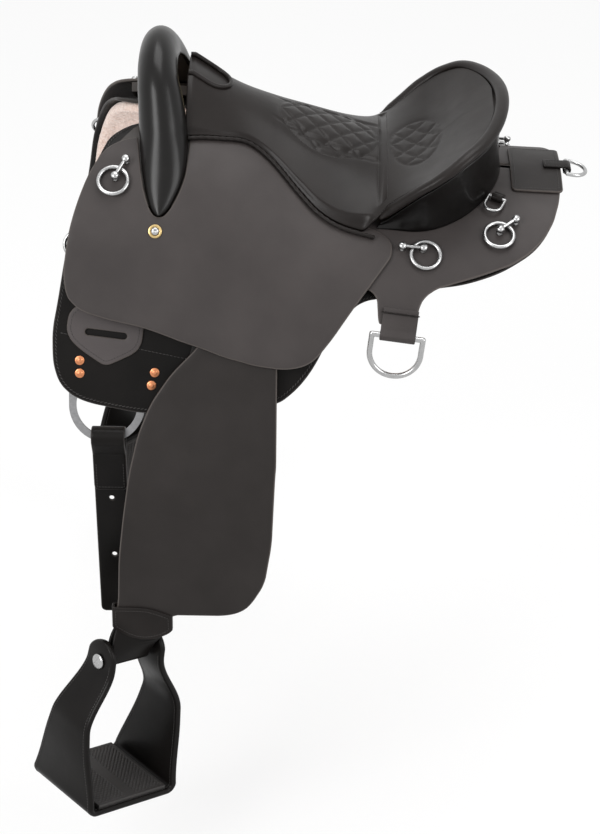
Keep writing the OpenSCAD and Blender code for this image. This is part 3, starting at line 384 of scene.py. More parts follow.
def cut_hide(loops, form, outer, thick, grid=6.0, relief=None):
    """Sheet cut to closed loops (outline first, then holes) in the form's flat coordinates. The edge is
    a half round of radius thick/2; the faces are Delaunay fills of an even grid, lifted by relief."""
    r = thick / 2
    turn = np.radians([-90, -60, -30, 0, 30, 60, 90])
    points, faces, edge, tops, bottoms = [], [], [], [], []
    count = 0
    rims = []
    for k, loop in enumerate(loops):
        sign = 1 if k == 0 else -1
        n = len(loop)
        rings = np.stack([np.column_stack([inset(loop, sign * r * (1 - math.cos(a))),
                                           np.full(n, r * math.sin(a))])
                          for a in turn])
        points.append(rings.reshape(-1, 3))
        edge.append(np.repeat(np.cos(turn) > 0.4, n).astype(float))
        faces += (quads(len(turn), n, wrap_m=True) + count).tolist()
        tops.append(count + (len(turn) - 1) * n + np.arange(n))
        bottoms.append(count + np.arange(n))
        rims.append(rings[-1, :, :2])
        count += len(turn) * n
    lo, hi = loops[0].min(0), loops[0].max(0)
    gx, gy = np.meshgrid(np.arange(lo[0], hi[0], grid), np.arange(lo[1], hi[1], grid))
    gx = gx + (np.arange(gx.shape[0]) % 2)[:, None] * grid / 2
    fill = np.stack([gx.ravel(), gy.ravel()], 1)
    keep = inside(fill, inset(loops[0], r + 0.45 * grid))
    for hole in loops[1:]:
        keep &= ~inside(fill, inset(hole, -r - 0.45 * grid))
    fill = fill[keep]
    m = len(fill)
    points.append(np.column_stack([fill, np.full(m, r)]))
    points.append(np.column_stack([fill, np.full(m, -r)]))
    edge.append(np.zeros(2 * m))
    top_id = np.r_[np.concatenate(tops), count + np.arange(m)]
    bottom_id = np.r_[np.concatenate(bottoms), count + m + np.arange(m)]
    flat = np.vstack(rims + [fill])
    bounds, start = [], 0
    for rim in rims:
        n = len(rim)
        bounds += [(start + i, start + (i + 1) % n) for i in range(n)]
        start += n
    _, _, tri, origin, _, _ = delaunay_2d_cdt([Vector(v) for v in flat], bounds, [], 1, 1e-6)
    first = np.array([o[0] if o else -1 for o in origin])
    tri = first[np.array(tri)]
    tri = tri[(tri >= 0).all(1)]
    middle = flat[tri].mean(1)
    for hole in rims[1:]:
        tri = tri[~inside(middle, hole)]
        middle = flat[tri].mean(1)
    faces += top_id[tri].tolist() + bottom_id[tri][:, ::-1].tolist()
    q = np.vstack(points)
    o = outer - r + q[:, 2]
    if relief is not None:
        o = o + relief(q[:, 0], q[:, 1], q[:, 2] > 0)
    return form(q[:, 0], q[:, 1], o), faces, np.concatenate(edge)


def lumps(x, y, wave, seed):
    """Even lumps from 9 crossed sine waves of about one wavelength, between about -1 and 1."""
    rng = np.random.default_rng(seed)
    total = np.zeros_like(np.asarray(x, float))
    for a, p, k in zip(rng.uniform(0, math.pi, 9), rng.uniform(0, 6.28, 9), rng.uniform(0.7, 1.5, 9)):
        total += np.sin((np.asarray(x) * math.cos(a) + np.asarray(y) * math.sin(a)) * 6.283 * k / wave + p)
    return total / 4.0


pile_tones = [(0.25, (0.62, 0.44, 0.37)), (0.55, (0.80, 0.63, 0.55)), (0.8, (0.90, 0.77, 0.70))]
pile, pile_b = mottled("cream_fleece", scale=260.0, detail=6.0, tones=pile_tones, rough=0.95, strength=0.9,
                       depth=0.003)
pile_b.inputs["Sheen Weight"].default_value = 0.5
pile_b.inputs["Sheen Roughness"].default_value = 0.6

flap_t, jockey_t, skirt_t, fender_t, strap_t, gap, facet = 4.0, 4.0, 4.0, 4.0, 4.0, 0.3, 0.8
ground_drop, ground_t, bar_t = 2.5, 3.0, 12.0
fender_out = -flap_t - 1.5
strap_out = fender_out - fender_t - gap - facet / 2
jockey_out = -flap_t - gap - facet / 4
skirt_out = jockey_out - ground_drop - ground_t - gap - facet - bar_t - gap - 1.25 * facet
skirt_top = [(-302, 340), (-295, 303), (-287, 254), (-274, 194), (-262, 145), (-250, 108), (-244, 90),
             (-237, 66), (-215, 42), (-190, 30), (-150, 24), (327, 24)]
skirt_bottom = [(-302, 372), (-300, 388), (-293, 408), (-277, 423), (-256, 432), (-201, 443), (-150, 446),
                (-80, 430), (-22, 400), (-3, 378), (12, 357), (24, 336), (50, 280), (80, 246), (120, 232),
                (174, 213), (201, 206), (225, 196), (248, 184), (266, 171), (290, 150), (305, 128),
                (316, 102), (323, 76), (327, 52)]
skirt_loop = cut_loop(skirt_top + skirt_bottom[::-1])
lining_front, lining_rear, plate_x, plate_s, pile_t = -287.0, 319.0, -160.0, 346.0, 14.0
lining = inset(skirt_loop, 7.0)
lining = lining[(lining[:, 0] > lining_front) & (lining[:, 0] < lining_rear)]
lining[(lining[:, 0] < plate_x) & (lining[:, 1] > plate_s), 1] = plate_s
lining = cut_loop(lining, step=4.0, cut=(4.0,))


def tufts(x, s, up):
    """Relief of the pile: lumps of two sizes added up on its
    face, and none where it is glued to the skirt."""
    return np.where(up, 0.0, 1.2 * lumps(x, s, wave=17.0, seed=3) + 0.7 * lumps(x, s, wave=8.0, seed=4))


fleece_p, fleece_f, _ = cut_hide([lining], on_side, skirt_out - skirt_t - gap - facet / 2, pile_t, grid=5.0,
                                 relief=tufts)
for side in ("near", "off"):
    fleece = put(side + "_fleece_pile", fleece_p, fleece_f, pile, "saddle", [side + "_fleece"], "fleece",
                 mirror=side == "off")

# The under-skirts: oiled near-black leather, sewn round its edge, with a second seam across above the
# rivets. The rigging plate is riveted behind the front of each.
skirt_hide = leather("skirt_leather", (0.0034, 0.0029, 0.0026), (0.0068, 0.0057, 0.0052), rough=0.42,
                     gloss=0.08, shine=0.08, edge=(0.030, 0.026, 0.024))
thread_tones = [(0.3, (0.010, 0.0085, 0.0078)), (0.7, (0.034, 0.030, 0.028))]
thread, _ = mottled("waxed_thread", scale=900.0, detail=3.0, tones=thread_tones, rough=0.5, strength=0.4,
                    depth=0.0002)


def capped(n, m):
    """Faces of a sweep of n closed rows of m points, with a cap at both ends."""
    return quads(n, m, wrap_m=True).tolist() + [list(range(m))[::-1], list(range((n - 1) * m, n * m))]


def bead(segments=6):
    """One stitch: a short rounded bar along X, flattened below; unit half length, width and height."""
    rows = np.array([(-1.0, 0.25), (-0.75, 0.8), (0.0, 1.0), (0.75, 0.8), (1.0, 0.25)])
    a = np.arange(segments) * 2 * math.pi / segments
    p = np.stack([np.repeat(rows[:, :1], segments, 1), rows[:, 1:] * np.cos(a), rows[:, 1:] * np.sin(a)],
                 -1)
    return p.reshape(-1, 3), capped(len(rows), segments)


def stitch_run(path, normal, pitch, half, slant=0.0, lift=0.2, closed=False):
    """Stitches at an even pitch along a path of points with
    normals; half is (length, width, height)/2 in mm."""
    q = np.vstack([path, path[:1]]) if closed else path
    nn = np.vstack([normal, normal[:1]]) if closed else normal
    d = run_along(q)
    t = np.arange(pitch / 2, d[-1], pitch)
    at = np.stack([np.interp(t, d, q[:, k]) for k in range(3)], 1)
    ahead = np.stack([np.interp(t + 0.5, d, q[:, k]) - np.interp(t - 0.5, d, q[:, k]) for k in range(3)], 1)
    up = np.stack([np.interp(t, d, nn[:, k]) for k in range(3)], 1)
    up /= np.linalg.norm(up, axis=1, keepdims=True)
    ahead -= up * np.sum(ahead * up, 1, keepdims=True)
    ahead /= np.linalg.norm(ahead, axis=1, keepdims=True) + 1e-9
    across = np.cross(up, ahead)
    c, s = math.cos(slant), math.sin(slant)
    ahead, across = c * ahead + s * across, c * across - s * ahead
    b, f = bead()
    b = b * np.asarray(half)
    p = ((at + lift * up)[:, None] + b[None, :, :1] * ahead[:, None] + b[None, :, 1:2] * across[:, None]
         + b[None, :, 2:] * up[:, None])
    n = len(b)
    faces = [[v + i * n for v in face] for i in range(len(t)) for face in f]
    return p.reshape(-1, 3), faces


def join(parts):
    """Joins (points, faces) lists into one."""
    points, faces, k = [], [], 0
    for p, f in parts:
        points.append(p)
        faces += [[v + k for v in face] for face in f]
        k += len(p)
    return np.vstack(points), faces


def flat_run(form, line, outer, **how):
    """Stitches along a line drawn in the form's flat coordinates, on the face at outer."""
    a = form(line[:, 0], line[:, 1], np.full(len(line), outer))
    b = form(line[:, 0], line[:, 1], np.full(len(line), outer + 1.0))
    return stitch_run(a, b - a, **how)


def smooth_line(points, step=3.0):
    """Open line through points with its corners clipped twice, spaced evenly."""
    p = np.asarray(points, float)
    for _ in range(2):
        clipped = np.stack([0.75 * p[:-1] + 0.25 * p[1:], 0.25 * p[:-1] + 0.75 * p[1:]], 1).reshape(-1, 2)
        p = np.vstack([p[:1], clipped, p[-1:]])
    d = run_along(p)
    t = np.linspace(0, d[-1], max(3, int(d[-1] / step)))
    return np.stack([np.interp(t, d, p[:, 0]), np.interp(t, d, p[:, 1])], 1)


def beside(line, d):
    """An open line moved by d to its right, along its own normals."""
    t = np.gradient(line, axis=0)
    t /= np.linalg.norm(t, axis=1, keepdims=True)
    return line + d * np.stack([t[:, 1], -t[:, 0]], 1)


rigging_z = 20.0


def down_side(x, e):
    """Distance down the side form of a point e below the rigging level on its plane."""
    r = curve(radius_stations, x)
    level = (side_plane - r) / math.cos(slope) + r * math.cos(slope) - rigging_z
    return slope * r + level / math.sin(slope) + e


skirt_p, skirt_f, skirt_e = cut_hide([skirt_loop], on_side, skirt_out, skirt_t)
skirt_rim = beside(smooth_line(skirt_top[8::-1] + skirt_bottom), 4.5)
edge_sew = flat_run(on_side, skirt_rim, skirt_out, pitch=4.6, half=(2.1, 0.6, 0.5), slant=0.4, lift=0.1)
band_front, band_rear, band_e, band_fall = -292, -60, 72, 0.195
band_x = np.linspace(band_front, band_rear, 90)
band_line = np.column_stack([band_x, down_side(band_x, band_e + band_fall * (band_x - band_front))])
band_sew = flat_run(on_side, band_line, skirt_out, pitch=4.6, half=(1.9, 0.6, 0.5), lift=0.1)
skirt_sewing = join([edge_sew, band_sew])
for side in ("near", "off"):
    put(side + "_skirt_hide", skirt_p, skirt_f, skirt_hide, "saddle", [side + "_skirt"], "skirt", skirt_e,
        side == "off")
    put(side + "_skirt_sewing", *skirt_sewing, thread, "saddle", slot="skirt", mirror=side == "off",
        turn=False)

# The rigging: a flat steel dee stays as made in the frame; four copper rivets a side hold it through the
# skirt. Each rivet is a domed head over a flat burr.
copper = metal("copper", (0.62, 0.25, 0.12), rough=0.38, scratch=300.0)
plane_y = (side_plane - rigging_z * math.cos(slope)) / math.sin(slope)
low_slope = math.radians(80.0)
bend = (220.0, 340.0)


def fender_slope(e):
    """Angle of the fender at e: the slope of the side, turning evenly to the lower slope over the bend."""
    return slope + (low_slope - slope) * np.clip((e - bend[0]) / (bend[1] - bend[0]), 0, 1)


def on_fender(x, e, o):
    """Fender form, near side, in mm: the side plane, e down
    the slope, turning from 66 to 80 degrees over the bend."""
    e = np.asarray(e, float)
    a = fender_slope(e)
    r = (bend[1] - bend[0]) / (low_slope - slope)
    e0, e1 = np.minimum(e, bend[0]), np.maximum(0, e - bend[1])
    y = plane_y + e0 * math.cos(slope) + r * (np.sin(a) - math.sin(slope)) + e1 * np.cos(a)
    z = rigging_z - e0 * math.sin(slope) - r * (math.cos(slope) - np.cos(a)) - e1 * np.sin(a)
    return np.stack([x + 0 * a, -(y + o * np.sin(a)), z + o * np.cos(a)], -1)


def turned(profile, at, axis, around=28):
    """A profile of (radius, height) points turned about an
    axis through a point; both ends reach the axis."""
    z = np.asarray(axis, float) / np.linalg.norm(axis)
    x = np.cross(z, (0.3, 0.5, 0.8))
    x /= np.linalg.norm(x)
    y = np.cross(z, x)
    pr = np.asarray(profile, float)
    a = np.arange(around) * 2 * math.pi / around
    round_axis = np.cos(a)[None, :, None] * x + np.sin(a)[None, :, None] * y
    p = np.asarray(at, float) + pr[:, None, :1] * round_axis + pr[:, None, 1:] * z
    return p.reshape(-1, 3), capped(len(pr), around)


def two_sided(parts):
    """A near-side mesh with its mirror image on the off side."""
    p, f = join(parts)
    return join([(p, f), (p * (1, -1, 1), [list(v)[::-1] for v in f])])


side_out = np.array([0.0, -math.sin(slope), math.cos(slope)])
rivet_at = [(-268, 106), (-268, 122), (-175, 120), (-179, 136)]
rivet_line = [(0.05, -8.9), (1.9, -8.9), (2.0, 0.0), (5.9, 0.0), (5.9, 0.9), (5.5, 1.25), (4.0, 1.35),
              (3.6, 1.4), (3.3, 1.9), (2.2, 2.3), (0.05, 2.45)]
rivets = [turned(rivet_line, on_fender(np.array(x * 1.0), e, skirt_out + gap), side_out)
          for x, e in rivet_at]
put("copper_rivet_heads", *two_sided(rivets), copper, "saddle", ["copper_rivets"], "copper")

# The latigo keepers: shield-shaped tabs of firm paler leather, one a side, with a rounded slot for the
# strap's end. Each lies flat on its skirt and is sewn down round its edge.
smooth_hide = leather("flap_leather", (0.031, 0.0260, 0.0250), (0.043, 0.0365, 0.0350), rough=0.55,
                      gloss=0.0, shine=0.3, grain=1100.0, depth=0.00012)
keeper_shape = [(-284, 63), (-283, 72), (-278, 82), (-266, 93), (-250, 104), (-236, 113), (-220, 106),
                (-199, 96), (-191, 85), (-188, 63), (-192, 44), (-212, 32), (-260, 32), (-280, 44)]
keeper_t, slot_x, slot_e, slot_l, slot_fall, slot_r = 3.5, -257, 70, 44, 5, 4
fine = dict(pitch=3.6, half=(1.3, 0.45, 0.35))
slot_a = np.radians(np.arange(0, 360, 15))
slot_end = np.where(np.cos(slot_a) < 0, 0.0, 1.0)
keeper_slot = np.stack([slot_x + slot_l * slot_end + slot_r * np.cos(slot_a),
                        slot_e + slot_fall * slot_end + slot_r * np.sin(slot_a)], 1)
keeper_loop = cut_loop(keeper_shape, step=2.0, cut=(5.0, 2.0))
keeper_out = skirt_out + gap + keeper_t
keeper_p, keeper_f, keeper_e = cut_hide([keeper_loop, cut_loop(keeper_slot, step=1.5, cut=())], on_fender,
                                        keeper_out, keeper_t, grid=4.0)
keeper_sew = flat_run(on_fender, inset(keeper_loop, 5.0), keeper_out, **fine, lift=0.05, closed=True)
keepers = two_sided([(keeper_p, keeper_f)])
keeper_hide = leather("keeper_leather", (0.050, 0.0430, 0.0425), (0.066, 0.0565, 0.0560), rough=0.55,
                      gloss=0.0, shine=0.3, grain=1100.0, depth=0.00012)
put("keeper_tabs", *keepers, keeper_hide, "saddle", ["keepers"], "flap", np.r_[keeper_e, keeper_e])
put("keeper_sewing", *two_sided([keeper_sew]), thread, "saddle", slot="flap")

# The rear jockeys: the smooth leather skirt layer behind the seat, one a side. A tab at the bottom of
# each is laced to the rear cinch dee's strip.
jockey_top = [(74, 150), (110, 120), (150, 60), (190, 12), (220, 6), (329, 6)]
jockey_bottom = [(74, 225), (98, 238), (100, 270), (102, 274), (145, 274), (147, 270), (148, 260),
                 (150, 247), (156, 233), (171, 220), (183, 215), (224, 198), (264, 179), (286, 162),
                 (304, 140), (317, 112), (325, 78), (328, 52), (329, 36)]
jockey_loop = cut_loop(jockey_top + jockey_bottom[::-1], step=2.5, cut=(5.0, 2.0))
jockey_p, jockey_f, jockey_e = cut_hide([jockey_loop], on_side, jockey_out, jockey_t)
for side in ("near", "off"):
    put(side + "_jockey_hide", jockey_p, jockey_f, smooth_hide, "saddle", [side + "_jockey"], "skirt",
        jockey_e, side == "off")

# The dees and rings: bent from polished stainless wire and welded. Staples with ball heads hold the
# rings, and each dee turns in a strip of leather folded round its bar; the rear cinch strips are laced to
# the jockeys.
stainless = metal("stainless", (0.47, 0.47, 0.47), rough=0.26, scratch=160.0)
turning = ("front_ring", "mid_ring", "rear_ring", "cinch_dee", "cantle_dee", "breast_dee")
dress([side + name for side in ("near_", "off_") for name in turning] + ["crupper_dee"], stainless)
ring_wire, staple_pitch = 5.0, 26.0
ball_line = [(0.05, -4.0), (2.0, -4.0), (2.0, 0.1), (4.3, 0.1), (4.5, 0.8), (3.1, 1.7), (2.7, 3.8),
             (3.2, 5.3), (4.5, 6.4), (5.0, 8.2), (4.8, 9.8), (3.9, 11.1), (2.4, 11.8), (0.05, 12.1)]


def skin_frame(x, s, o, turn=0.0):
    """Place and axes (along, up the slope, out) of a fitting
    on the side form, turned in the leather's face."""
    p = on_side(np.array(x * 1.0), s, o)
    ex = on_side(np.array(x + 1.0), s, o) - on_side(np.array(x - 1.0), s, o)
    ex /= np.linalg.norm(ex)
    ez = np.cross(ex, on_side(np.array(x * 1.0), s - 1.0, o) - on_side(np.array(x * 1.0), s + 1.0, o))
    ez /= np.linalg.norm(ez)
    ey = np.cross(ez, ex)
    c, n = math.cos(turn), math.sin(turn)
    return p, np.array([c * ex + n * ey, c * ey - n * ex, ez])


def even(path, step):
    """The path spaced evenly."""
    path = np.asarray(path, float)
    d = run_along(path)
    t = np.linspace(0, d[-1], max(4, int(d[-1] / step)))
    return np.stack([np.interp(t, d, path[:, k]) for k in range(path.shape[1])], 1)


def tube(path, ra, rb, up, around=16, twist=0.0, ridge=0.0, ridges=2, grow=None):
    """Round bar along a path: half axes ra sideways and rb
    upwards, ridged by a helix of twist turns per mm."""
    path = np.asarray(path, float)
    t = np.gradient(path, axis=0)
    t /= np.linalg.norm(t, axis=1, keepdims=True)
    side = np.cross(t, up)
    side /= np.linalg.norm(side, axis=1, keepdims=True)
    w = np.cross(side, t)
    a = np.arange(around) * 2 * math.pi / around
    d = run_along(path)
    k = 1 + ridge * np.cos(ridges * a[None] + 6.283 * twist * d[:, None])
    k = k * (np.ones(len(path)) if grow is None else grow)[:, None]
    p = (path[:, None] + (ra * np.cos(a) * k)[..., None] * side[:, None]
         + (rb * np.sin(a) * k)[..., None] * w[:, None])
    return p.reshape(-1, 3), capped(len(path), around)


def strap(centre, wide, normal, width, thick, around=6):
    """Flat strap with half-round edges along stations of centre, width direction and normal."""
    a = np.radians(np.linspace(-90, 90, around))
    r = thick / 2
    across = np.r_[width / 2 - r + r * np.cos(a), -(width / 2 - r + r * np.cos(a))]
    up = np.r_[r * np.sin(a), -r * np.sin(a)]
    p = centre[:, None] + across[None, :, None] * wide[:, None] + up[None, :, None] * normal[:, None]
    return p.reshape(-1, 3), capped(len(centre), len(across))


staple_feet = (((-211, 129), (-223, 151), gap), ((127, 172), (155, 171), jockey_out + gap),
               ((269, 117), (249, 135), jockey_out + gap))
staple_r = 2.0
staple_z = 4 * gap + ring_wire + staple_r
staples = []
for a, b, o in staple_feet:
    p, axes = skin_frame((a[0] + b[0]) / 2, (a[1] + b[1]) / 2, o, math.atan2(a[1] - b[1], b[0] - a[0]))
    bar = p + np.linspace(-1, 1, 5)[:, None] * staple_pitch / 2 * axes[0] + staple_z * axes[2]
    staples.append(tube(bar, staple_r, staple_r, axes[2]))
    staples += [turned(ball_line, p + k * staple_pitch / 2 * axes[0], axes[2]) for k in (-1, 1)]
put("ring_staple_set", *two_sided(staples), stainless, "saddle", ["ring_staples"], "steel")

loop_hide = leather("loop_leather", (0.0085, 0.0070, 0.0064), (0.016, 0.0134, 0.0124), rough=0.45,
                    gloss=0.06, shine=0.1)
loop_t = 3.0


def eye_fold(wire, tongue, drop):
    """Fold of a dee strip seen along the bar: its tongue, then round the
    bar and back on to the tongue. Where the tongue lies above the bar's
    middle the strip goes over the bar first, and otherwise under it."""
    r = wire / 2 + gap + loop_t / 2
    way = 1 if drop > 0 else -1
    a = np.radians(np.linspace(90, 320, 40))
    y = np.r_[np.linspace(tongue, r + loop_t / 2, 14), r * np.cos(a)]
    z = np.r_[np.full(14, drop + loop_t / 2), way * r * np.sin(a)]
    line = even(np.column_stack([y, z]), step=0.8)
    return np.vstack([line[:1], (line[:-2] + 2 * line[1:-1] + line[2:]) / 4, line[-1:]])


def folded(place, wire, tongue, drop, width):
    """A dee strip in its place: the fold swept to the strip's width."""
    p, axes = place
    line = eye_fold(wire, tongue, drop)
    t = np.gradient(line, axis=0)
    t /= np.linalg.norm(t, axis=1, keepdims=True)
    centre = p + line[:, :1] * axes[1] + line[:, 1:] * axes[2]
    return strap(centre, np.tile(axes[0], (len(line), 1)), t[:, :1] * axes[2] - t[:, 1:] * axes[1], width,
                 loop_t)


def tongue_sewing(place, tongue, drop, width):
    """Stitches round three sides of a strip's tongue."""
    p, axes = place
    w = width / 2 - 2.5
    line = even([(-w, 8.0), (-w, tongue - 3), (w, tongue - 3), (w, 8.0)], step=1.5)
    path = p + line[:, :1] * axes[0] + line[:, 1:] * axes[1] + (drop + loop_t) * axes[2]
    return stitch_run(path, np.tile(axes[2], (len(line), 1)), pitch=3.4, half=(1.2, 0.4, 0.35), lift=0.05)


cinch_place = skin_frame(124, 286, jockey_out - jockey_t / 2)
cantle_place = skin_frame(247, 82, jockey_out + 2 * gap + loop_t + 1.75, math.radians(-21))
breast_place = skin_frame(-264, 234, skirt_out + 2 * gap + loop_t + 2.25, math.radians(-90))
crupper_place = skin_frame(338.5, 0, jockey_out + gap + 1.75, math.radians(90))
# Each strip's bar thickness, tongue length, tongue height over the bar's middle, and width.
cinch_strip, cantle_strip = (7.0, 34.0, 2.3, 44.0), (3.5, 12.0, -5.05, 14.0)
breast_strip, crupper_strip = (4.5, 22.0, -5.55, 20.0), (5.0, 30.0, 2.25, 20.0)
strips = (("cinch_strips", cinch_place, cinch_strip, smooth_hide, "cinch_loops"),
          ("cantle_strips", cantle_place, cantle_strip, loop_hide, "cantle_tabs"),
          ("breast_strips", breast_place, breast_strip, loop_hide, "breast_tabs"))
for name, place, strip, hide, node in strips:
    put(name, *two_sided([folded(place, *strip)]), hide, "saddle", [node], "skirt")
put("crupper_strip", *folded(crupper_place, *crupper_strip), loop_hide, "saddle", ["crupper_loop"], "skirt")
strip_sew = two_sided([tongue_sewing(breast_place, *breast_strip[1:])])
crupper_sew = tongue_sewing(crupper_place, *crupper_strip[1:])
put("strip_sewing", *join([strip_sew, crupper_sew]), thread, "saddle", slot="skirt")
lace_p, lace_axes = cinch_place
lace_top, lace_low, lace_row = cinch_strip[2] + loop_t + 0.9, 2.5, 28.0
laces = []
for line in ([(-21.4, lace_low), (-20.0, lace_top), (-12.6, lace_top), (-11.2, lace_low)],
             [(-9.2, lace_low), (-7.8, lace_top), (7.8, lace_top), (9.2, lace_low)],
             [(11.2, lace_low), (12.6, lace_top), (20.0, lace_top), (21.4, lace_low)]):
    q = even(line, step=1.0)
    path = lace_p + q[:, :1] * lace_axes[0] + lace_row * lace_axes[1] + q[:, 1:] * lace_axes[2]
    laces.append(tube(path, 2.6, 1.1, lace_axes[1], around=10))
put("cinch_laces", *two_sided(laces), loop_hide, "saddle", slot="skirt")

# The fork screws: one a side, driven through the flap into the fork's foot. A round stainless head with a
# socket stands on a bevelled brass washer.
brass = metal("brass", (0.60, 0.44, 0.20), rough=0.33, scratch=260.0)
washer_line = [(0.05, 0.0), (8.2, 0.0), (8.5, 0.3), (8.5, 1.0), (8.0, 1.5), (6.0, 1.5), (5.6, 1.2),
               (0.05, 1.2)]
screw_line = [(0.05, -4.0), (2.0, -4.0), (2.0, 1.5), (4.9, 1.5), (5.0, 2.2), (4.7, 3.4), (3.8, 4.3),
              (2.4, 4.7), (1.8, 4.7), (1.7, 3.4), (0.05, 3.4)]
screw_p, screw_axes = skin_frame(-173, 217, gap)
put("fork_washer_pair", *two_sided([turned(washer_line, screw_p, screw_axes[2])]), brass, "saddle",
    ["fork_washers"], "brass")
put("fork_screw_pair", *two_sided([turned(screw_line, screw_p, screw_axes[2])]), stainless, "saddle",
    ["fork_screws"], "steel")

# The crupper gusset: a patch of thick leather over the tail end of both jockeys. It is stitched round its
# edge and carries the strip of the crupper dee.
gusset_t = 3.5
gusset_out = jockey_out + gap + gusset_t
firm = dict(pitch=3.8, half=(1.4, 0.5, 0.4))
gusset_loop = cut_loop([(266, -62), (266, 62), (331, 62), (331, -62)], step=2.0, cut=(4.0, 2.0))
gusset_p, gusset_f, gusset_e = cut_hide([gusset_loop], on_side, gusset_out, gusset_t, grid=5.0)
gusset_sew = flat_run(on_side, inset(gusset_loop, 5.0), gusset_out, **firm, lift=0.05, closed=True)
gusset_hide = leather("gusset_leather", (0.0125, 0.0104, 0.0096), (0.0190, 0.0160, 0.0150), rough=0.5,
                      gloss=0.0, shine=0.2, grain=1000.0, depth=0.00014)
put("crupper_gusset_hide", gusset_p, gusset_f, gusset_hide, "saddle", ["crupper_gusset"], "skirt", gusset_e)
put("crupper_gusset_sewing", *gusset_sew, thread, "saddle", slot="skirt")

# The flaps: large smooth sheets of leather over the skirts, one a side, with bevelled and burnished
# edges. Each is notched at the top to let the pommel's leg through.
front_r, leg_foot = 211.0, math.radians(53.5)
leaf_half = [(0, 3), (6, 9.5), (21, 16.5), (45, 24), (75, 28.5), (110, 30), (150, 28), (200, 25), (400, 23)]
leaf_mid = [(0, -169), (21, -167), (52, -165), (90, -166), (127, -169), (170, -174), (210, -177),
            (400, -178)]
flap_top = [(-285, 262), (-283, 246), (-279, 219), (-274, 198), (-267, 174), (-258, 148), (-252, 135),
            (-243, 117), (-233, 105), (-218, 96), (-200, 91), (-130, 80), (-100, 70), (-65, 61), (-30, 80),
            (0, 106), (28, 130), (58, 147), (98, 154), (116, 166)]
flap_bottom = [(-285, 274), (-283, 290), (-279, 301), (-264, 315), (-234, 325), (-185, 336), (-137, 352),
               (-89, 361), (-50, 361), (-16, 352), (9, 340), (24, 328), (46, 297), (71, 257), (94, 222),
               (113, 191), (116, 184)]


def leg_s(l):
    """Distance down the side form of a point l up the pommel's leg, seen square to the leg."""
    return front_r * (leg_foot - np.arcsin(np.asarray(l, float) / front_r))


notch_l = np.array([100, 90, 52, 36, 24, 14, 6, -2.0])
notch_w = np.interp(notch_l, *np.array(leaf_half).T) + 2.0
notch_m = np.interp(notch_l, *np.array(leaf_mid).T)
notch_front = list(zip(notch_m - notch_w, leg_s(notch_l)))
notch_rear = list(zip(notch_m + notch_w, leg_s(notch_l)))[::-1]
flap_front = [p for p in flap_top if p[0] < -195]
flap_rear = [p for p in flap_top if p[0] > -135]
flap_line = flap_front + notch_front + notch_rear + flap_rear + flap_bottom[::-1]
flap_loop = cut_loop(flap_line, step=2.5, cut=(6.0, 2.5))
flap_p, flap_f, flap_e = cut_hide([flap_loop], on_side, 0.0, flap_t, grid=6.0)
for side in ("near", "off"):
    put(side + "_flap_hide", flap_p, flap_f, smooth_hide, "saddle", [side + "_flap"], "flap", flap_e,
        side == "off")

# The pommel: soft glossy black leather, drawn wet over the wooden fork and left to dry tight. It runs as
# one long leaf from foot to foot.
gloss_hide = leather("gloss_leather", (0.0028, 0.0024, 0.0022), (0.0056, 0.0048, 0.0044), rough=0.36,
                     gloss=0.34, shine=0.08, grain=700.0, depth=0.0002)
fork_slope, fork_foot, fork_top, fork_sink = math.radians(54.0), (170.0, 86.0), 251.0, 4.1
fork_d = math.sin(fork_slope) * fork_foot[0] + math.cos(fork_slope) * fork_foot[1]
fork_r = (fork_d - math.cos(fork_slope) * fork_top) / (1 - math.cos(fork_slope))
leg_len = math.hypot(fork_r * math.sin(fork_slope) - fork_foot[0],
                     fork_top - fork_r + fork_r * math.cos(fork_slope) - fork_foot[1])
fork_len = leg_len + fork_r * fork_slope


def pommel_point(l, q, d):
    """Domed section of the pommel: angle q over the dome, set
    in by d, at length l along legs and top arc."""
    k = np.minimum(l, 2 * fork_len - l)
    a = np.where(k < leg_len, fork_slope, fork_slope - (k - leg_len) / fork_r)
    y = np.where(k < leg_len, fork_foot[0] - k * math.cos(fork_slope), fork_r * np.sin(a))
    z = np.where(k < leg_len, fork_foot[1] + k * math.sin(fork_slope),
                 fork_top - fork_r + fork_r * np.cos(a))
    w = curve(leaf_half, k)
    h = np.minimum(34, 9 + k * k / 430)
    across = np.maximum(w - d, 0.3 * w) * np.cos(q)
    up = np.maximum(h - d, 0.3 * h) * np.sin(q) + fork_sink - h
    way = np.where(l > fork_len, 1, -1)
    return np.stack([curve(leaf_mid, k) + across, way * (y + up * np.sin(a)), z + up * np.cos(a)], -1)


def shell(outer, inner):
    """Closed shell between two grids of points of one shape."""
    n, m = outer.shape[:2]
    k = n * m
    f = quads(n, m)
    ring = np.r_[np.arange(m), np.arange(2 * m - 1, n * m, m), np.arange(n * m - 2, (n - 1) * m - 1, -1),
                 np.arange((n - 2) * m, 0, -m)]
    nxt = np.roll(ring, -1)
    rim = np.stack([ring, nxt, nxt + k, ring + k], 1)
    faces = f.tolist() + (f[:, ::-1] + k).tolist() + rim.tolist()
    return np.vstack([outer.reshape(-1, 3), inner.reshape(-1, 3)]), faces


pommel_t = 4.0
foot_rows = np.r_[0, 1, 3, 6, np.arange(10, 60, 4)]
pl = np.r_[foot_rows, np.linspace(62, 2 * fork_len - 62, 70), 2 * fork_len - foot_rows[::-1]]
pq = np.radians(np.linspace(180, 0, 37))
pl, pq = np.meshgrid(pl, pq, indexing="ij")
put("pommel_leather", *shell(pommel_point(pl, pq, 0.0), pommel_point(pl, pq, pommel_t)), gloss_hide,
    "saddle", ["pommel_cover"], "gloss")

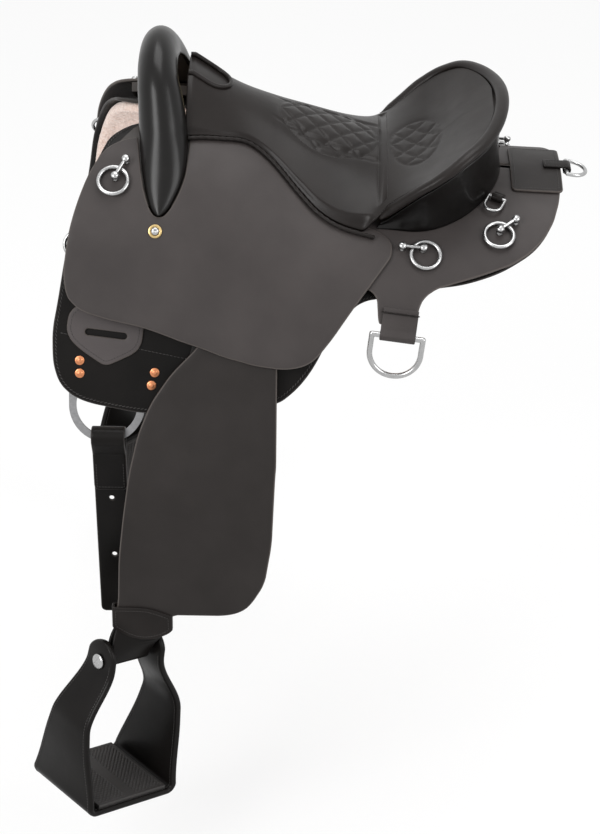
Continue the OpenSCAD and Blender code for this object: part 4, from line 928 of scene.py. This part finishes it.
# The seat: a carved foam pad under a soft leather cover. The cover is sewn across behind the dip, quilted
# in the middle and on the cantle pad in plain diamonds, and drawn down to the flaps along its sides.
seat_mid = [(-134, 219), (-82, 183), (-31, 159), (7, 144.5), (60, 124), (107, 108), (128, 104.5),
            (158, 111), (182, 128), (207, 149), (245, 171), (261, 182)]
seat_bend = [(-134, 16), (-82, 11.9), (-31, 8.3), (7, 6.5), (60, 4.7), (98, 2.9), (128, 0.2), (158, -1.3),
             (207, -1), (261, -0.2)]
seat_half = [(-134, 86), (-100, 79), (-65, 72), (-35, 84), (1, 114), (25, 133), (55, 146), (98, 152),
             (128, 158), (150, 164), (165, 166)]
front_x, rim_start, cantle_x = -140.0, 100.0, 165.0
rim_a, rim_w, rim_h, rim_lift = (96.0, 166.0), 17.0, 12.0, 2.5
hold_w, hold_l, hold_r, cover_t, side_v = 28.0, 52.0, 3.5, 3.0, 0.95
seam_x, seam_w, seam_d, rib_v, rib_w, rib_d = 104.0, 8.0, 3.0, 0.34, 0.06, 2.2
quilt_ovals, quilt_w, quilt_lean = ((36.0, 62.0, 66.0), (146.0, 32.0, 62.0)), 30.0, 0.75
quilt_d, draw_d = 2.6, 1.8


def seat_z(x, y):
    """Seat height: a curve along the midline less a sideways crown that grows with the square of y."""
    return curve(seat_mid, x) - curve(seat_bend, x) / 1000 * y * y / 2


def inset_y(x, d):
    """Half width of the seat, set in by d: the station curve, then an oval behind the cantle's middle."""
    o = (rim_a[1] - d) * np.sqrt(np.maximum(0, 1 - ((x - cantle_x) / (rim_a[0] - d)) ** 2))
    return np.where(x < cantle_x, curve(seat_half, x) - d, o)


def rim_k(x):
    """How far the cantle rim has swelled to its full size at x."""
    return ease(rim_start - 8, rim_start + 16, x)


def cover_y(x):
    """Half width of the cover, which stops inside the cantle rim."""
    return inset_y(x, (rim_w + gap + facet) * rim_k(x))


def quilting(x, y):
    """Padded diamonds: height from the distance to the nearest
    of two families of sewn lines, inside two ovals."""
    out = 0 * x
    for cx, ax, ay in quilt_ovals:
        u = 1 - np.sqrt(((x - cx) / ax) ** 2 + (y / ay) ** 2)
        a, b = (x - cx + quilt_lean * y) / quilt_w, (x - cx - quilt_lean * y) / quilt_w
        d = np.minimum(np.abs(a - np.round(a)), np.abs(b - np.round(b))) * quilt_w * 0.8
        d = np.minimum(d, np.abs(u) * 40.0)
        out = out + np.where(u > 0, quilt_d * (1 - np.exp(-d / 3.2)) - draw_d,
                             -draw_d * np.exp(-np.abs(u) * 40.0 / 3.0))
    return out


def groove(d, w):
    """1 in the middle of a groove, easing to 0 at the distance w."""
    return 1 - ease(0, w, np.abs(d))


def relief(x, v):
    """Sewn relief of the cover: a drawn-in seam across the seat and two channels along it."""
    seam = seam_d * groove(x - seam_x, seam_w) * (np.abs(v) < 0.9)
    ribs = rib_d * groove(np.abs(v) - rib_v, rib_w) * ease(-40, -10, x) * (1 - ease(seam_x - 12, seam_x, x))
    return -seam - ribs


def notch_y(x):
    """Half width of the handhold's slot at x."""
    c = front_x + hold_l - hold_w
    slot = np.where(x < c, hold_w, np.sqrt(np.maximum(0, hold_w ** 2 - (x - c) ** 2)))
    return slot + hold_r * (x < front_x + hold_l)


def cover_grid(drop):
    """The cover at a depth: y is v times the half width, or runs from the
    handhold's slot outwards in front, and z is the seat form with its
    relief, falling to the flap over the last twentieth of the width."""
    x = np.r_[front_x, np.arange(-138, 241, 2.2), 241.0]
    v = np.r_[-1, -0.99, -0.975, -0.96, np.linspace(-side_v, 0, 66), np.linspace(0, side_v, 66), 0.96,
              0.975, 0.99, 1]
    x, v = np.meshgrid(x, v, indexing="ij")
    half = np.where(np.arange(v.shape[1]) < v.shape[1] // 2, -1.0, 1.0)
    slot = np.where(x < front_x + hold_l + hold_r, notch_y(x), 0.0)
    y = half * (slot + np.abs(v) * (cover_y(x) - slot))
    w = y / cover_y(x)
    k = ease(side_v, 1.0, np.abs(w)) * (1 - ease(rim_start - 22, rim_start - 6, x))
    r = curve(radius_stations, x)
    low = on_side(x, r * np.arcsin(np.abs(y) / r), gap + facet / 2)[..., 2] + cover_t
    z = (seat_z(x, y) + relief(x, w) + quilting(x, y)) * (1 - k) + low * k
    return np.stack([x, y, z - drop], -1)


seat_hide = leather("seat_leather", (0.0086, 0.0068, 0.0061), (0.0142, 0.0115, 0.0105), rough=0.40,
                    gloss=0.11, shine=0.12, grain=800.0, depth=0.00018)
cover_p, cover_f = shell(cover_grid(0.0), cover_grid(cover_t))
cover = put("seat_cover_leather", cover_p, cover_f, seat_hide, "saddle", ["seat_cover"], "seat")

foam_tones = [(0.3, (0.55, 0.45, 0.25)), (0.7, (0.72, 0.62, 0.40))]
foam, _ = mottled("seat_foam", scale=700.0, detail=3.0, tones=foam_tones, rough=0.9, strength=0.5,
                  depth=0.0008)
wall_x, wall_in = 130.0, (98.0, 113.0)


def foam_grid(lower):
    """The foam pad: top a little below the cover, bottom on the ground seat and jockeys."""
    x = np.r_[np.arange(front_x + 6, 218, 5.0), 218.0]
    v = np.r_[np.linspace(-1, 0, 22), np.linspace(0, 1, 22)]
    x, v = np.meshgrid(x, v, indexing="ij")
    r = curve(radius_stations, x)
    flap_y = r * np.sin(np.interp(x, *np.array(flap_top).T) / r)
    wide = np.minimum(cover_y(x) * side_v - 4 - 20 * ease(60, 100, x),
                      np.where(x < 100, flap_y - 2, cover_y(x)))
    if lower:
        oval = np.sqrt(np.maximum(0, 1 - ((x - wall_x) / wall_in[0]) ** 2))
        wide = np.minimum(wide, np.where(x <= wall_x, wall_in[1], wall_in[1] * oval))
    slot = np.where(x < front_x + hold_l + hold_r + 1, notch_y(x) + 1.0 * (x < front_x + hold_l), 0.0)
    y = np.where(np.arange(v.shape[1]) < v.shape[1] // 2, -1.0, 1.0) * (slot + np.abs(v) * (wide - slot))
    if lower:
        high, low = -flap_t - gap - facet, skirt_out + bar_t + gap + 1.25 * facet
        bars = high + (low - high) * ease(-140, -108, x)
        ground = jockey_out - ground_drop
        o = np.maximum(np.maximum(ground, bars),
                       ground + (jockey_out - ground) * ease(50, 72, x)) + gap + facet / 2
        z = on_side(x, r * np.arcsin(np.abs(y) / r), o)[..., 2]
    else:
        z = seat_z(x, y) + relief(x, y / cover_y(x)) - cover_t - gap - facet - 1.8
    return np.stack([x, y, z], -1)


pad = put("seat_foam_pad", *shell(foam_grid(False), foam_grid(True)), foam, "saddle", ["seat_foam"], "foam")


def on_seat(x, y, lift=0.0):
    """Points on the cover's top."""
    w = y / cover_y(x)
    return np.stack([x, y, seat_z(x, y) + relief(x, w) + quilting(x, y) + lift], -1)


def seat_run(x, y, **how):
    """Stitches along a line on the seat, standing on its surface normal."""
    e = 0.8
    p = on_seat(x, y)
    n = np.cross(on_seat(x + e, y) - on_seat(x - e, y), on_seat(x, y + e) - on_seat(x, y - e))
    return stitch_run(p, n, **how)


yy = np.linspace(-125, 125, 200)
small = dict(pitch=3.4, half=(1.2, 0.4, 0.3))
seat_sew = [seat_run(np.full(200, seam_x + d), yy, **fine, lift=0.1) for d in (-5.5, 5.5)]
for cx, ax, ay in quilt_ovals:
    t = np.linspace(0, 2 * math.pi, 220)
    seat_sew.append(seat_run(cx + ax * np.cos(t), ay * np.sin(t), **small, lift=0.1))
    for k in range(-6, 7):
        for g in (-1, 1):
            ly = np.linspace(-ay, ay, 260)
            lx = cx + k * quilt_w + g * quilt_lean * ly
            inn = ((lx - cx) / ax) ** 2 + (ly / ay) ** 2 < 0.97
            if inn.sum() > 8:
                seat_sew.append(seat_run(lx[inn], ly[inn], **small, lift=0.1))
put("seat_sewing", *join(seat_sew), thread, "saddle", slot="seat", turn=False)

# The rolled edges: a stuffed roll round the handhold, a broad rolled rim round the cantle, and a twisted
# piping along the seat's lower edge.
roll_r, welt_r = 3.2, 2.6
cx = front_x + hold_l - hold_w
ha = np.radians(np.linspace(-88, 88, 60))
hold_path = np.vstack([np.column_stack([np.linspace(front_x + 1, cx, 10), np.full(10, -hold_w)]),
                       np.column_stack([cx + hold_w * np.cos(ha), hold_w * np.sin(ha)]),
                       np.column_stack([np.linspace(cx, front_x + 1, 10), np.full(10, hold_w)])])
hold_path = even(np.column_stack([hold_path, seat_z(hold_path[:, 0], hold_path[:, 1]) + 0.6]), step=1.5)
put("handhold_roll", *tube(hold_path, roll_r, roll_r, (0, 0, 1)), seat_hide, "saddle", ["hold_roll"],
    "seat")
hold_up = np.tile((0, 0, 1.0), (len(hold_path), 1))
hold_sew = stitch_run(hold_path + (0, 0, 2.9), hold_up, **fine, slant=0.5, lift=0.1)
put("handhold_sewing", *hold_sew, thread, "saddle", slot="seat", turn=False)


def rim_line(d):
    """The cantle rim's line from near to off, set in by d where the rim is full."""
    x1 = np.linspace(rim_start, cantle_x, 40)
    a = np.radians(np.linspace(-90, 90, 120))[1:-1]
    d1 = d * rim_k(x1)
    o = np.column_stack([cantle_x + (rim_a[0] - d) * np.cos(a), (rim_a[1] - d) * np.sin(a)])
    p = np.vstack([np.column_stack([x1, -inset_y(x1, d1)]), o,
                   np.column_stack([x1, inset_y(x1, d1)])[::-1]])
    return np.column_stack([p, seat_z(p[:, 0], p[:, 1])])


rim_path = even(rim_line(rim_w / 2) + (0, 0, rim_lift - rim_h / 2), step=3.0)
rim_tube = tube(rim_path, rim_w / 2, rim_h / 2, (0, 0, 1), around=24, grow=rim_k(rim_path[:, 0]))
put("cantle_rim", *rim_tube, seat_hide, "saddle", ["cantle_roll"], "seat")
rim_seam = rim_line(rim_w * 0.82) + (0, 0, 0.6)
rim_sew = stitch_run(rim_seam, np.tile((0, 0, 1.0), (len(rim_seam), 1)), **firm, lift=0.1)
put("cantle_rim_sewing", *rim_sew, thread, "saddle", slot="seat", turn=False)

wx = np.linspace(front_x + 3, rim_start - 6, 400)
wy = inset_y(wx, 0.0) + 3.8
wr = curve(radius_stations, wx)
welt_path = even(on_side(wx, wr * np.arcsin(wy / wr), 3.3), step=1.2)
welt = tube(welt_path, welt_r, welt_r, (0, -0.5, 1), around=12, twist=0.11, ridge=0.13, ridges=3)
put("seat_piping", *two_sided([welt]), loop_hide, "saddle", ["seat_welt"], "skirt")

# The cantle back: glossy black leather stretched over the cantle board. It runs from under the rolled rim
# down to the jockeys, a little hollow on the way.
back_x, back_a, back_side, back_c, back_belly, back_t = 130.0, (124.0, 139.0), 141.0, 150.0, 5.0, 4.0
back_in = 4.0
back_in = 4.0


def back_wall(d):
    """Grid from the rim line to the foot line, bellied
    inwards and set in by d towards a point under the seat."""
    x1 = np.linspace(rim_start, cantle_x - 8, 30)
    a = np.radians(np.linspace(-90, 90, 90))
    y1 = inset_y(x1, back_in)
    p = np.vstack([np.column_stack([x1, -y1]),
                   np.column_stack([cantle_x + (rim_a[0] - back_in) * np.cos(a),
                                    (rim_a[1] - back_in) * np.sin(a)]),
                   np.column_stack([x1, y1])[::-1]])
    x2 = np.linspace(rim_start - 3, back_x - 4, 30)
    y2 = back_side + (back_a[1] - back_side) * ease(rim_start - 20, back_x, x2)
    q = np.vstack([np.column_stack([x2, -y2]),
                   np.column_stack([back_x + back_a[0] * np.cos(a), back_a[1] * np.sin(a)]),
                   np.column_stack([x2, y2])[::-1]])

    def moved(v, k):
        """Points moved by k towards the point under the seat."""
        c = np.stack([back_c - v[..., 0], -v[..., 1]], -1)
        return v + k[..., None] * c / np.linalg.norm(c, axis=-1, keepdims=True)

    h = np.linspace(0.02, 1.0, 26)[None]
    b = moved(p[:, None] * (1 - h[..., None]) + q[:, None] * h[..., None],
              d + back_belly * np.sin(math.pi * h))
    g = moved(q, np.full(len(q), d))
    top = seat_z(p[:, 0], p[:, 1]) - rim_h + rim_lift - gap - 3 * facet
    gr = curve(radius_stations, g[:, 0])
    low = on_side(g[:, 0], gr * np.arcsin(np.abs(g[:, 1]) / gr), jockey_out + gap + facet / 2)[:, 2]
    return np.concatenate([b, (top[:, None] * (1 - h) + low[:, None] * h)[..., None]], -1)


put("cantle_back_leather", *shell(back_wall(0.0), back_wall(back_t)), gloss_hide, "saddle", ["cantle_back"],
    "gloss")

# The fenders: broad smooth leather panels that hang under the flaps, one a side, in front of the stirrup
# leathers. Each narrows to a neck at the bottom, which the hobble strap gathers.
fender_hide = leather("fender_leather", (0.0150, 0.0124, 0.0114), (0.0215, 0.0182, 0.0170), rough=0.5,
                      gloss=0.0, shine=0.2, grain=1000.0, depth=0.00014)
fender_l, neck = 470.0, (-226.0, -158.0)
neck_mid = (neck[0] + neck[1]) / 2
fender_top = [(-226, fender_l - 30), (-222, fender_l - 52), (-220, 360), (-214, 306), (-206, 247),
              (-195, 197), (-179, 157), (-154, 120), (-123, 88), (-103, 62), (-78, 42), (-53, 36),
              (-23, 62)]
fender_bottom = [(-226, fender_l - 14), (-158, fender_l - 14), (-157, fender_l - 33), (-87, fender_l - 33),
                 (-68, fender_l - 38), (-55, fender_l - 48), (-37, fender_l - 78), (-28, 337), (-24, 245),
                 (-23, 236)]
fender_loop = cut_loop(fender_top + fender_bottom[::-1], step=2.5, cut=(7.0, 3.0))
fender_p, fender_f, fender_e = cut_hide([fender_loop], on_fender, fender_out, fender_t)
for side in ("near", "off"):
    put(side + "_fender_panel", fender_p, fender_f, fender_hide, side + "_fender_swing", [side + "_fender"],
        "flap", fender_e, side == "off")

# The stirrup leathers: heavy oiled straps behind the fenders, hung by a round tab with a hole from a stud
# on the tree's hanger plates. Each twists below the fender's neck, passes round the stirrup bolt and ends
# under the hobble strap.
pivot_x, pivot_e, strap_turn, strap_flat, strap_w, bolt_d = -88.0, -12.0, 50.0, 430.0, 62.0, 10.0
bolt_fore, bolt_drop, bolt_air, tab_r, stud_r = 22.0, 26.0, 0.4, 25.0, 8.05
bolt_at = on_fender(np.array(neck_mid - bolt_fore), fender_l + bolt_drop, strap_out - strap_t / 2)
tilt, turned_by = math.radians(14.0), math.radians(43.0)
yaw = np.array([[math.cos(turned_by), -math.sin(turned_by), 0],
                [math.sin(turned_by), math.cos(turned_by), 0], [0, 0, 1]])
bolt_turn = yaw @ [[math.cos(tilt), 0, math.sin(tilt)], [0, 1, 0], [-math.sin(tilt), 0, math.cos(tilt)]]
loop_r = bolt_d / 2 + bolt_air + strap_t / 2


def strap_row(e, out):
    """Station of the strap where it lies flat against the
    fender at e: centre, width direction, outward normal."""
    a = fender_slope(e)
    x = pivot_x + (neck_mid - pivot_x) * np.clip((e - strap_turn) / (strap_flat - strap_turn), 0, 1)
    return on_fender(np.array(x), e, out), np.array([1.0, 0, 0]), np.array([0, -math.sin(a), math.cos(a)])


def loop_row(y, z, ny, nz):
    """Station of the strap on the bolt, given in the bolt's own turned frame."""
    return bolt_at + bolt_turn @ [0, y, z], bolt_turn @ [1.0, 0, 0], bolt_turn @ [0, ny, nz]


def twisted(a, b, steps=9):
    """Stations between two others: centres in a straight line, directions turned with a smooth step."""
    rows = []
    for k in np.linspace(0, 1, steps + 2)[1:-1]:
        w, n = [v + (u - v) * ease(0, 1, k) for v, u in zip(a[1:], b[1:])]
        rows.append((a[0] + (b[0] - a[0]) * k, w / np.linalg.norm(w), n / np.linalg.norm(n)))
    return rows


def strap_rows():
    """Stations along the stirrup leather: down the fender's back,
    twisted to the bolt, round it and up under the hobble in front."""
    down = [strap_row(e, strap_out - strap_t / 2) for e in np.arange(pivot_e, fender_l - 14, 9.0)]
    turn = [loop_row(loop_r * math.cos(a), -loop_r * math.sin(a), -math.cos(a), math.sin(a))
            for a in np.radians(np.arange(0, 181, 12))]
    end = strap_row(fender_l - 20, fender_out - fender_t / 2)
    end = (end[0], end[1], -end[2])
    rows = down + twisted(down[-1], turn[0]) + turn + twisted(turn[-1], end) + [end]
    return [np.array(c) for c in zip(*rows)]


strap_p, strap_f = strap(*strap_rows(), strap_w, strap_t)
tab_a = np.radians(np.arange(0, 360, 8))
tab = cut_loop(np.stack([pivot_x + tab_r * np.cos(tab_a), pivot_e + tab_r * np.sin(tab_a)], 1), step=2.5,
               cut=())
hole = cut_loop(np.stack([pivot_x + stud_r * np.cos(tab_a), pivot_e + stud_r * np.sin(tab_a)], 1), step=1.5,
                cut=())
tab_p, tab_f, _ = cut_hide([tab, hole], on_fender, strap_out, strap_t, grid=5.0)
row = 12
skip = 3 * row
below_tab = [[v - skip for v in f] for f in strap_f if min(f) >= skip] + [list(range(row))[::-1]]
strap_all = join([(strap_p[skip:], below_tab), (tab_p, tab_f)])
for side in ("near", "off"):
    put(side + "_stirrup_leather", *strap_all, skirt_hide, side + "_fender_swing", [side + "_leather"],
        "skirt", mirror=side == "off")

# The hobble straps: a leather band sewn round fender neck and stirrup leather, one a side. Its front is
# widened to a rounded shield with a row of stitches along both edges.
hobble_t, squared = 3.0, 0.35
back_top, back_top_fall, back_low, back_low_fall = 424, 12, 454, 5
hob_lo, hob_hi = strap_out - strap_t - gap - facet / 2, fender_out + gap
hob_w = neck[1] - neck[0] + 3 * facet
shield_top = [(-238, 422), (-228, 425), (-188, 426), (-165, 433), (-150, 440)]
shield_low = [(-238, 449), (-225, 456), (-214, 463), (-206, 467), (-195, 470), (-183, 470), (-172, 467),
              (-160, 461), (-150, 452)]


def boxed(v):
    """A sine or cosine squared off to a rounded box: its sign times a power of its size."""
    return np.sign(v) * np.abs(v) ** squared


def hobble_band():
    """Band round neck and strap: a rounded box path, its section a strip with half-round edges. The
    strip's upper and lower edges follow the shield in front and fall evenly towards the rear behind."""
    a = np.linspace(0, 2 * math.pi, 180, endpoint=False)
    c, n = np.cos(a), np.sin(a)
    front = ease(-0.2, 0.7, n)
    x0 = neck_mid + boxed(c) * hob_w / 2
    k = (x0 - neck[0]) / (neck[1] - neck[0])
    top = (back_top + back_top_fall * k) * (1 - front) + curve(shield_top, x0) * front
    low = (back_low + back_low_fall * k) * (1 - front) + curve(shield_low, x0) * front
    r = hobble_t / 2
    t = np.linspace(0, math.pi, 9)
    rows = [(top + r - r * math.sin(v), r - r * math.cos(v)) for v in t]
    rows += [(top + (low - top) * k, 2 * r) for k in (0.3, 0.5, 0.7)]
    rows += [(low - r + r * math.sin(v), r + r * math.cos(v)) for v in t]
    middle, half = (hob_lo + hob_hi) / 2, (hob_hi - hob_lo) / 2
    p = [np.column_stack([neck_mid + boxed(c) * (hob_w / 2 + g), e, middle + boxed(n) * (half + g)])
         for e, g in rows]
    p = np.vstack(p)
    return on_fender(p[:, 0], p[:, 1], p[:, 2]), quads(len(rows), len(a), True, True).tolist()


hobble_p, hobble_f = hobble_band()
hx = np.linspace(neck[0] + 1, neck[1] - 1, 60)
shield_line = np.vstack([np.column_stack([hx, curve(shield_top, hx) + 4.5]),
                         np.column_stack([hx, curve(shield_low, hx) - 4.5])[::-1]])
hob_sew = flat_run(on_fender, even(shield_line, step=1.5), hob_hi + hobble_t, **fine, lift=0.05,
                   closed=True)
for side in ("near", "off"):
    put(side + "_hobble_strap", hobble_p, hobble_f, loop_hide, side + "_fender_swing", [side + "_hobble"],
        "skirt", mirror=side == "off")
    put(side + "_hobble_sewing", *hob_sew, thread, side + "_fender_swing", slot="skirt",
        mirror=side == "off", turn=False)

# The stirrups: a steamed wooden bow covered in dark leather sewn along both edges, turned to face
# forward. A rubber pad with cut diamonds lies on the sole.
stirrup_w, stirrup_d, stirrup_h, panel_t, tread_t, panel_air = 144.0, 124.0, 193.0, 8.0, 6.0, 5.0
panel_top, panel_half, panel_head, belly_x, sole_r = 28.0, 25.0, 27.5, 75.0, 10.0
panel_x = strap_w / 2 + panel_air + panel_t / 2
sole_x, sole_z = stirrup_w / 2 - panel_t / 2, panel_t / 2 - stirrup_h


def half_bow(u, a):
    """Middle line of one panel and its corner as (across, height, half depth):
    from its round head at the bolt the panel sways out to a belly, tucks in a
    little and widens with a power of u, then turns through a into the sole."""
    z = panel_top + (sole_z + sole_r - panel_top) * u
    x = panel_x + (belly_x - panel_x) * ease(0.15, 0.53, u) + (sole_x - belly_x) * ease(0.6, 1.0, u)
    deep = panel_half + (stirrup_d / 2 - panel_half) * u ** 1.6
    head = panel_head * np.sqrt(np.maximum(1 - (np.maximum(z, 0) / panel_top) ** 2, 0.0004))
    leg = np.stack([x, z, np.where(z > 0, np.minimum(deep, head), deep)], -1)
    corner = np.stack([sole_x - sole_r + sole_r * np.cos(a), sole_z + sole_r - sole_r * np.sin(a),
                       np.full_like(a, stirrup_d / 2)], -1)
    return np.vstack([leg, corner])


bow_half = half_bow(np.r_[np.linspace(0, 0.38, 16) ** 2, np.linspace(0.16, 1, 44)],
                    np.radians(np.linspace(8, 90, 11)))
sole_line = np.linspace(sole_r - sole_x, sole_x - sole_r, 14)[1:-1]
bow_c = np.vstack([bow_half * (-1, 1, 1),
                   np.column_stack([sole_line, np.full(12, sole_z), np.full(12, stirrup_d / 2)]),
                   bow_half[::-1]])
bow_d = np.gradient(bow_c[:, :2], axis=0)
bow_n = np.stack([bow_d[:, 1], -bow_d[:, 0]], 1) / np.linalg.norm(bow_d, axis=1, keepdims=True)
edge_a = np.radians(np.linspace(-90, 90, 7))
prof_y = np.r_[np.cos(edge_a), -np.cos(edge_a)]
prof_g = np.r_[np.sin(edge_a), -np.sin(edge_a)]
r = panel_t / 2
half_y = np.r_[np.ones(7), -np.ones(7)]
yk = half_y * np.maximum(bow_c[:, 2:] - r, 0) + prof_y * np.minimum(r, bow_c[:, 2:])
local = np.stack([bow_c[:, :1] + prof_g * r * bow_n[:, :1], yk, bow_c[:, 1:2] + prof_g * r * bow_n[:, 1:]],
                 -1)
bow_p = bolt_at + local.reshape(-1, 3) @ bolt_turn.T
bow_f = capped(*local.shape[:2])
bow_sew = []
for k in (-1, 1):
    for g in (-1, 1):
        c = np.stack([bow_c[:, 0] + g * r * bow_n[:, 0], k * (bow_c[:, 2] - 6.0),
                      bow_c[:, 1] + g * r * bow_n[:, 1]], -1)
        d = np.stack([g * bow_n[:, 0], 0 * bow_n[:, 0], g * bow_n[:, 1]], -1)
        bow_sew.append(stitch_run((bolt_at + c @ bolt_turn.T)[14:-14], (d @ bolt_turn.T)[14:-14], **firm,
                                  lift=0.05))
bow_sew = join(bow_sew)
stirrup_hide = leather("stirrup_leather", (0.0042, 0.0036, 0.0033), (0.0070, 0.0060, 0.0055), rough=0.40,
                       gloss=0.10, shine=0.08, grain=800.0, depth=0.0002)
tread_half, diamond_w, diamond_d, border, middle_band = (55.0, 58.0), 6.0, 1.4, 4.0, 8.0


def tread_top(x, y):
    """Tread height: diamonds cut by two families of slanting
    grooves, fading to a plain border and middle band."""
    a, b = (x + y) / diamond_w, (x - y) / diamond_w
    cut = np.minimum(np.abs(a - np.round(a)), np.abs(b - np.round(b))) * 2
    k = np.clip((np.abs(x) - middle_band) / 2, 0, 1)
    for v, half in zip((x, y), tread_half):
        k = k * np.clip((half - border - np.abs(v)) / 2, 0, 1)
    return tread_t - diamond_d * k * (1 - np.clip(cut * 2.2, 0, 1))


tx, ty = [np.r_[-v, np.linspace(0.4 - v, v - 0.4, 150), v] for v in tread_half]
tx, ty = np.meshgrid(tx, ty, indexing="ij")
tz = tread_top(tx, ty)
tz[[0, -1], :] -= 0.8
tz[:, [0, -1]] -= 0.8
base = sole_z + panel_t / 2 + gap
tread_p, tread_f = shell(np.stack([tx, ty, base + tz], -1), np.stack([tx, ty, base + 0 * tz], -1))
tread_p = bolt_at + tread_p @ bolt_turn.T
grip_tones = [(0.3, (0.011, 0.0098, 0.0092)), (0.7, (0.024, 0.0213, 0.0200))]
grip, _ = mottled("grip_rubber", scale=420.0, detail=4.0, tones=grip_tones, rough=(0.5, 0.7), strength=0.3,
                  depth=0.0003)
for side in ("near", "off"):
    put(side + "_stirrup_bow", bow_p, bow_f, stirrup_hide, side + "_stirrup_swing", [side + "_stirrup"],
        "gloss", mirror=side == "off")
    put(side + "_stirrup_sewing", *bow_sew, thread, side + "_stirrup_swing", slot="gloss",
        mirror=side == "off", turn=False)
    put(side + "_tread_pad", tread_p, tread_f, grip, side + "_stirrup_swing", [side + "_tread"], "tread",
        mirror=side == "off")

# The stirrup bolts: a plain stainless pin through both panels and the strap's eye, with a fluted domed
# head pressed on at each end.
bolt_reach = panel_x + panel_t / 2 + 1.5
dome_line = [(0.05, 0.0), (9.6, 0.0), (10.0, 0.5), (10.0, 1.2), (9.4, 2.0), (8.4, 2.5), (7.0, 3.0),
             (5.4, 3.4), (3.6, 3.7), (1.8, 3.95), (0.05, 4.0)]


def fluted(line, at, axis):
    """A turned dome whose height sinks in ten radial flutes, deepest half way out."""
    around, flutes, depth = 60, 10, 0.45
    p, f = turned(line, at, axis, around=around)
    pr = np.asarray(line)
    a = np.arange(around) * 2 * math.pi / around
    out = np.where(pr[:, 1] > 1.5, np.sin(math.pi * np.clip(pr[:, 0] / 9.0, 0, 1)), 0)
    sink = out[:, None] * (0.5 + 0.5 * np.cos(flutes * a))
    return p - depth * sink.reshape(-1, 1) * np.asarray(axis), f


bolt_axis = bolt_turn @ [1.0, 0, 0]
pin = tube(bolt_at + np.linspace(-bolt_reach, bolt_reach, 5)[:, None] * bolt_axis, bolt_d / 2, bolt_d / 2,
           (0, 0, 1), around=24)
heads = [fluted(dome_line, bolt_at + k * bolt_reach * bolt_axis, k * bolt_axis) for k in (-1, 1)]
bolt_set = join([pin] + heads)
for side in ("near", "off"):
    put(side + "_bolt_pin", *bolt_set, stainless, side + "_stirrup_swing", [side + "_bolt"], "steel",
        mirror=side == "off")

# The latigos: long girth straps of soft oiled leather, one a side. Each is folded over its rigging dee,
# sewn together below the fold and punched with round holes.
latigo_w, latigo_l, latigo_t, fold_l, eye_r = 42.0, 270.0, 3.5, 78.0, 11.8
latigo_x, latigo_e, punch_first, punch_pitch, punch_r = -233.0, 202.0, 14.0, 87.0, 3.0
latigo_at = on_fender(np.array(latigo_x), latigo_e, skirt_out - skirt_t - gap - 2.0)
eye_a = np.radians(np.linspace(212, -32, 60))
ply_y, flare_z = latigo_t / 2 + 0.05, -2.0 * eye_r
latigo_line = np.vstack([[(-ply_y, -fold_l), (-ply_y, -fold_l / 2), (-ply_y, flare_z)],
                         np.column_stack([eye_r * np.cos(eye_a), eye_r * np.sin(eye_a)]),
                         [(ply_y, flare_z), (ply_y, -latigo_l / 2), (ply_y, -latigo_l)]])
latigo_line = even(latigo_line, step=1.0)
for _ in range(6):
    latigo_line[1:-1] = (latigo_line[:-2] + 2 * latigo_line[1:-1] + latigo_line[2:]) / 4
latigo_run = run_along(latigo_line)
latigo_len = latigo_run[-1]


def on_latigo(x, l, o):
    """Latigo form: l along the folded strap from the fold's end, x across it and o out of its face."""
    t = np.gradient(latigo_line, axis=0)
    t /= np.linalg.norm(t, axis=1, keepdims=True)
    y, z, ty, tz = [np.interp(l, latigo_run, v) for v in (*latigo_line.T, *t.T)]
    return latigo_at + np.stack([x + 0 * y, y - o * tz, z + o * ty], -1)


strap_loop = cut_loop([(-latigo_w / 2, 0), (latigo_w / 2, 0), (latigo_w / 2, latigo_len),
                       (-latigo_w / 2, latigo_len)], step=2.0, cut=(4.0, 2.0))
punch = np.radians(np.arange(0, 360, 20))
punch_start = latigo_len - latigo_l + fold_l + punch_first
punched = [np.stack([punch_r * np.cos(punch), punch_start + punch_pitch * k + punch_r * np.sin(punch)], 1)
           for k in (0, 1)]
latigo_p, latigo_f, latigo_edge = cut_hide([strap_loop] + punched, on_latigo, latigo_t / 2, latigo_t,
                                           grid=2.6)
fold_line = even([(-17, 40), (-17, 5), (17, 5), (17, 40)], step=1.5)
fold_sew = flat_run(on_latigo, fold_line, latigo_t / 2, pitch=4.0, half=(1.5, 0.5, 0.4), lift=0.05)
for side in ("near", "off"):
    put(side + "_latigo_strap", latigo_p, latigo_f, skirt_hide, side + "_latigo_swing", [side + "_latigo"],
        "skirt", latigo_edge, side == "off")
    put(side + "_latigo_sewing", *fold_sew, thread, side + "_latigo_swing", slot="skirt",
        mirror=side == "off", turn=False)
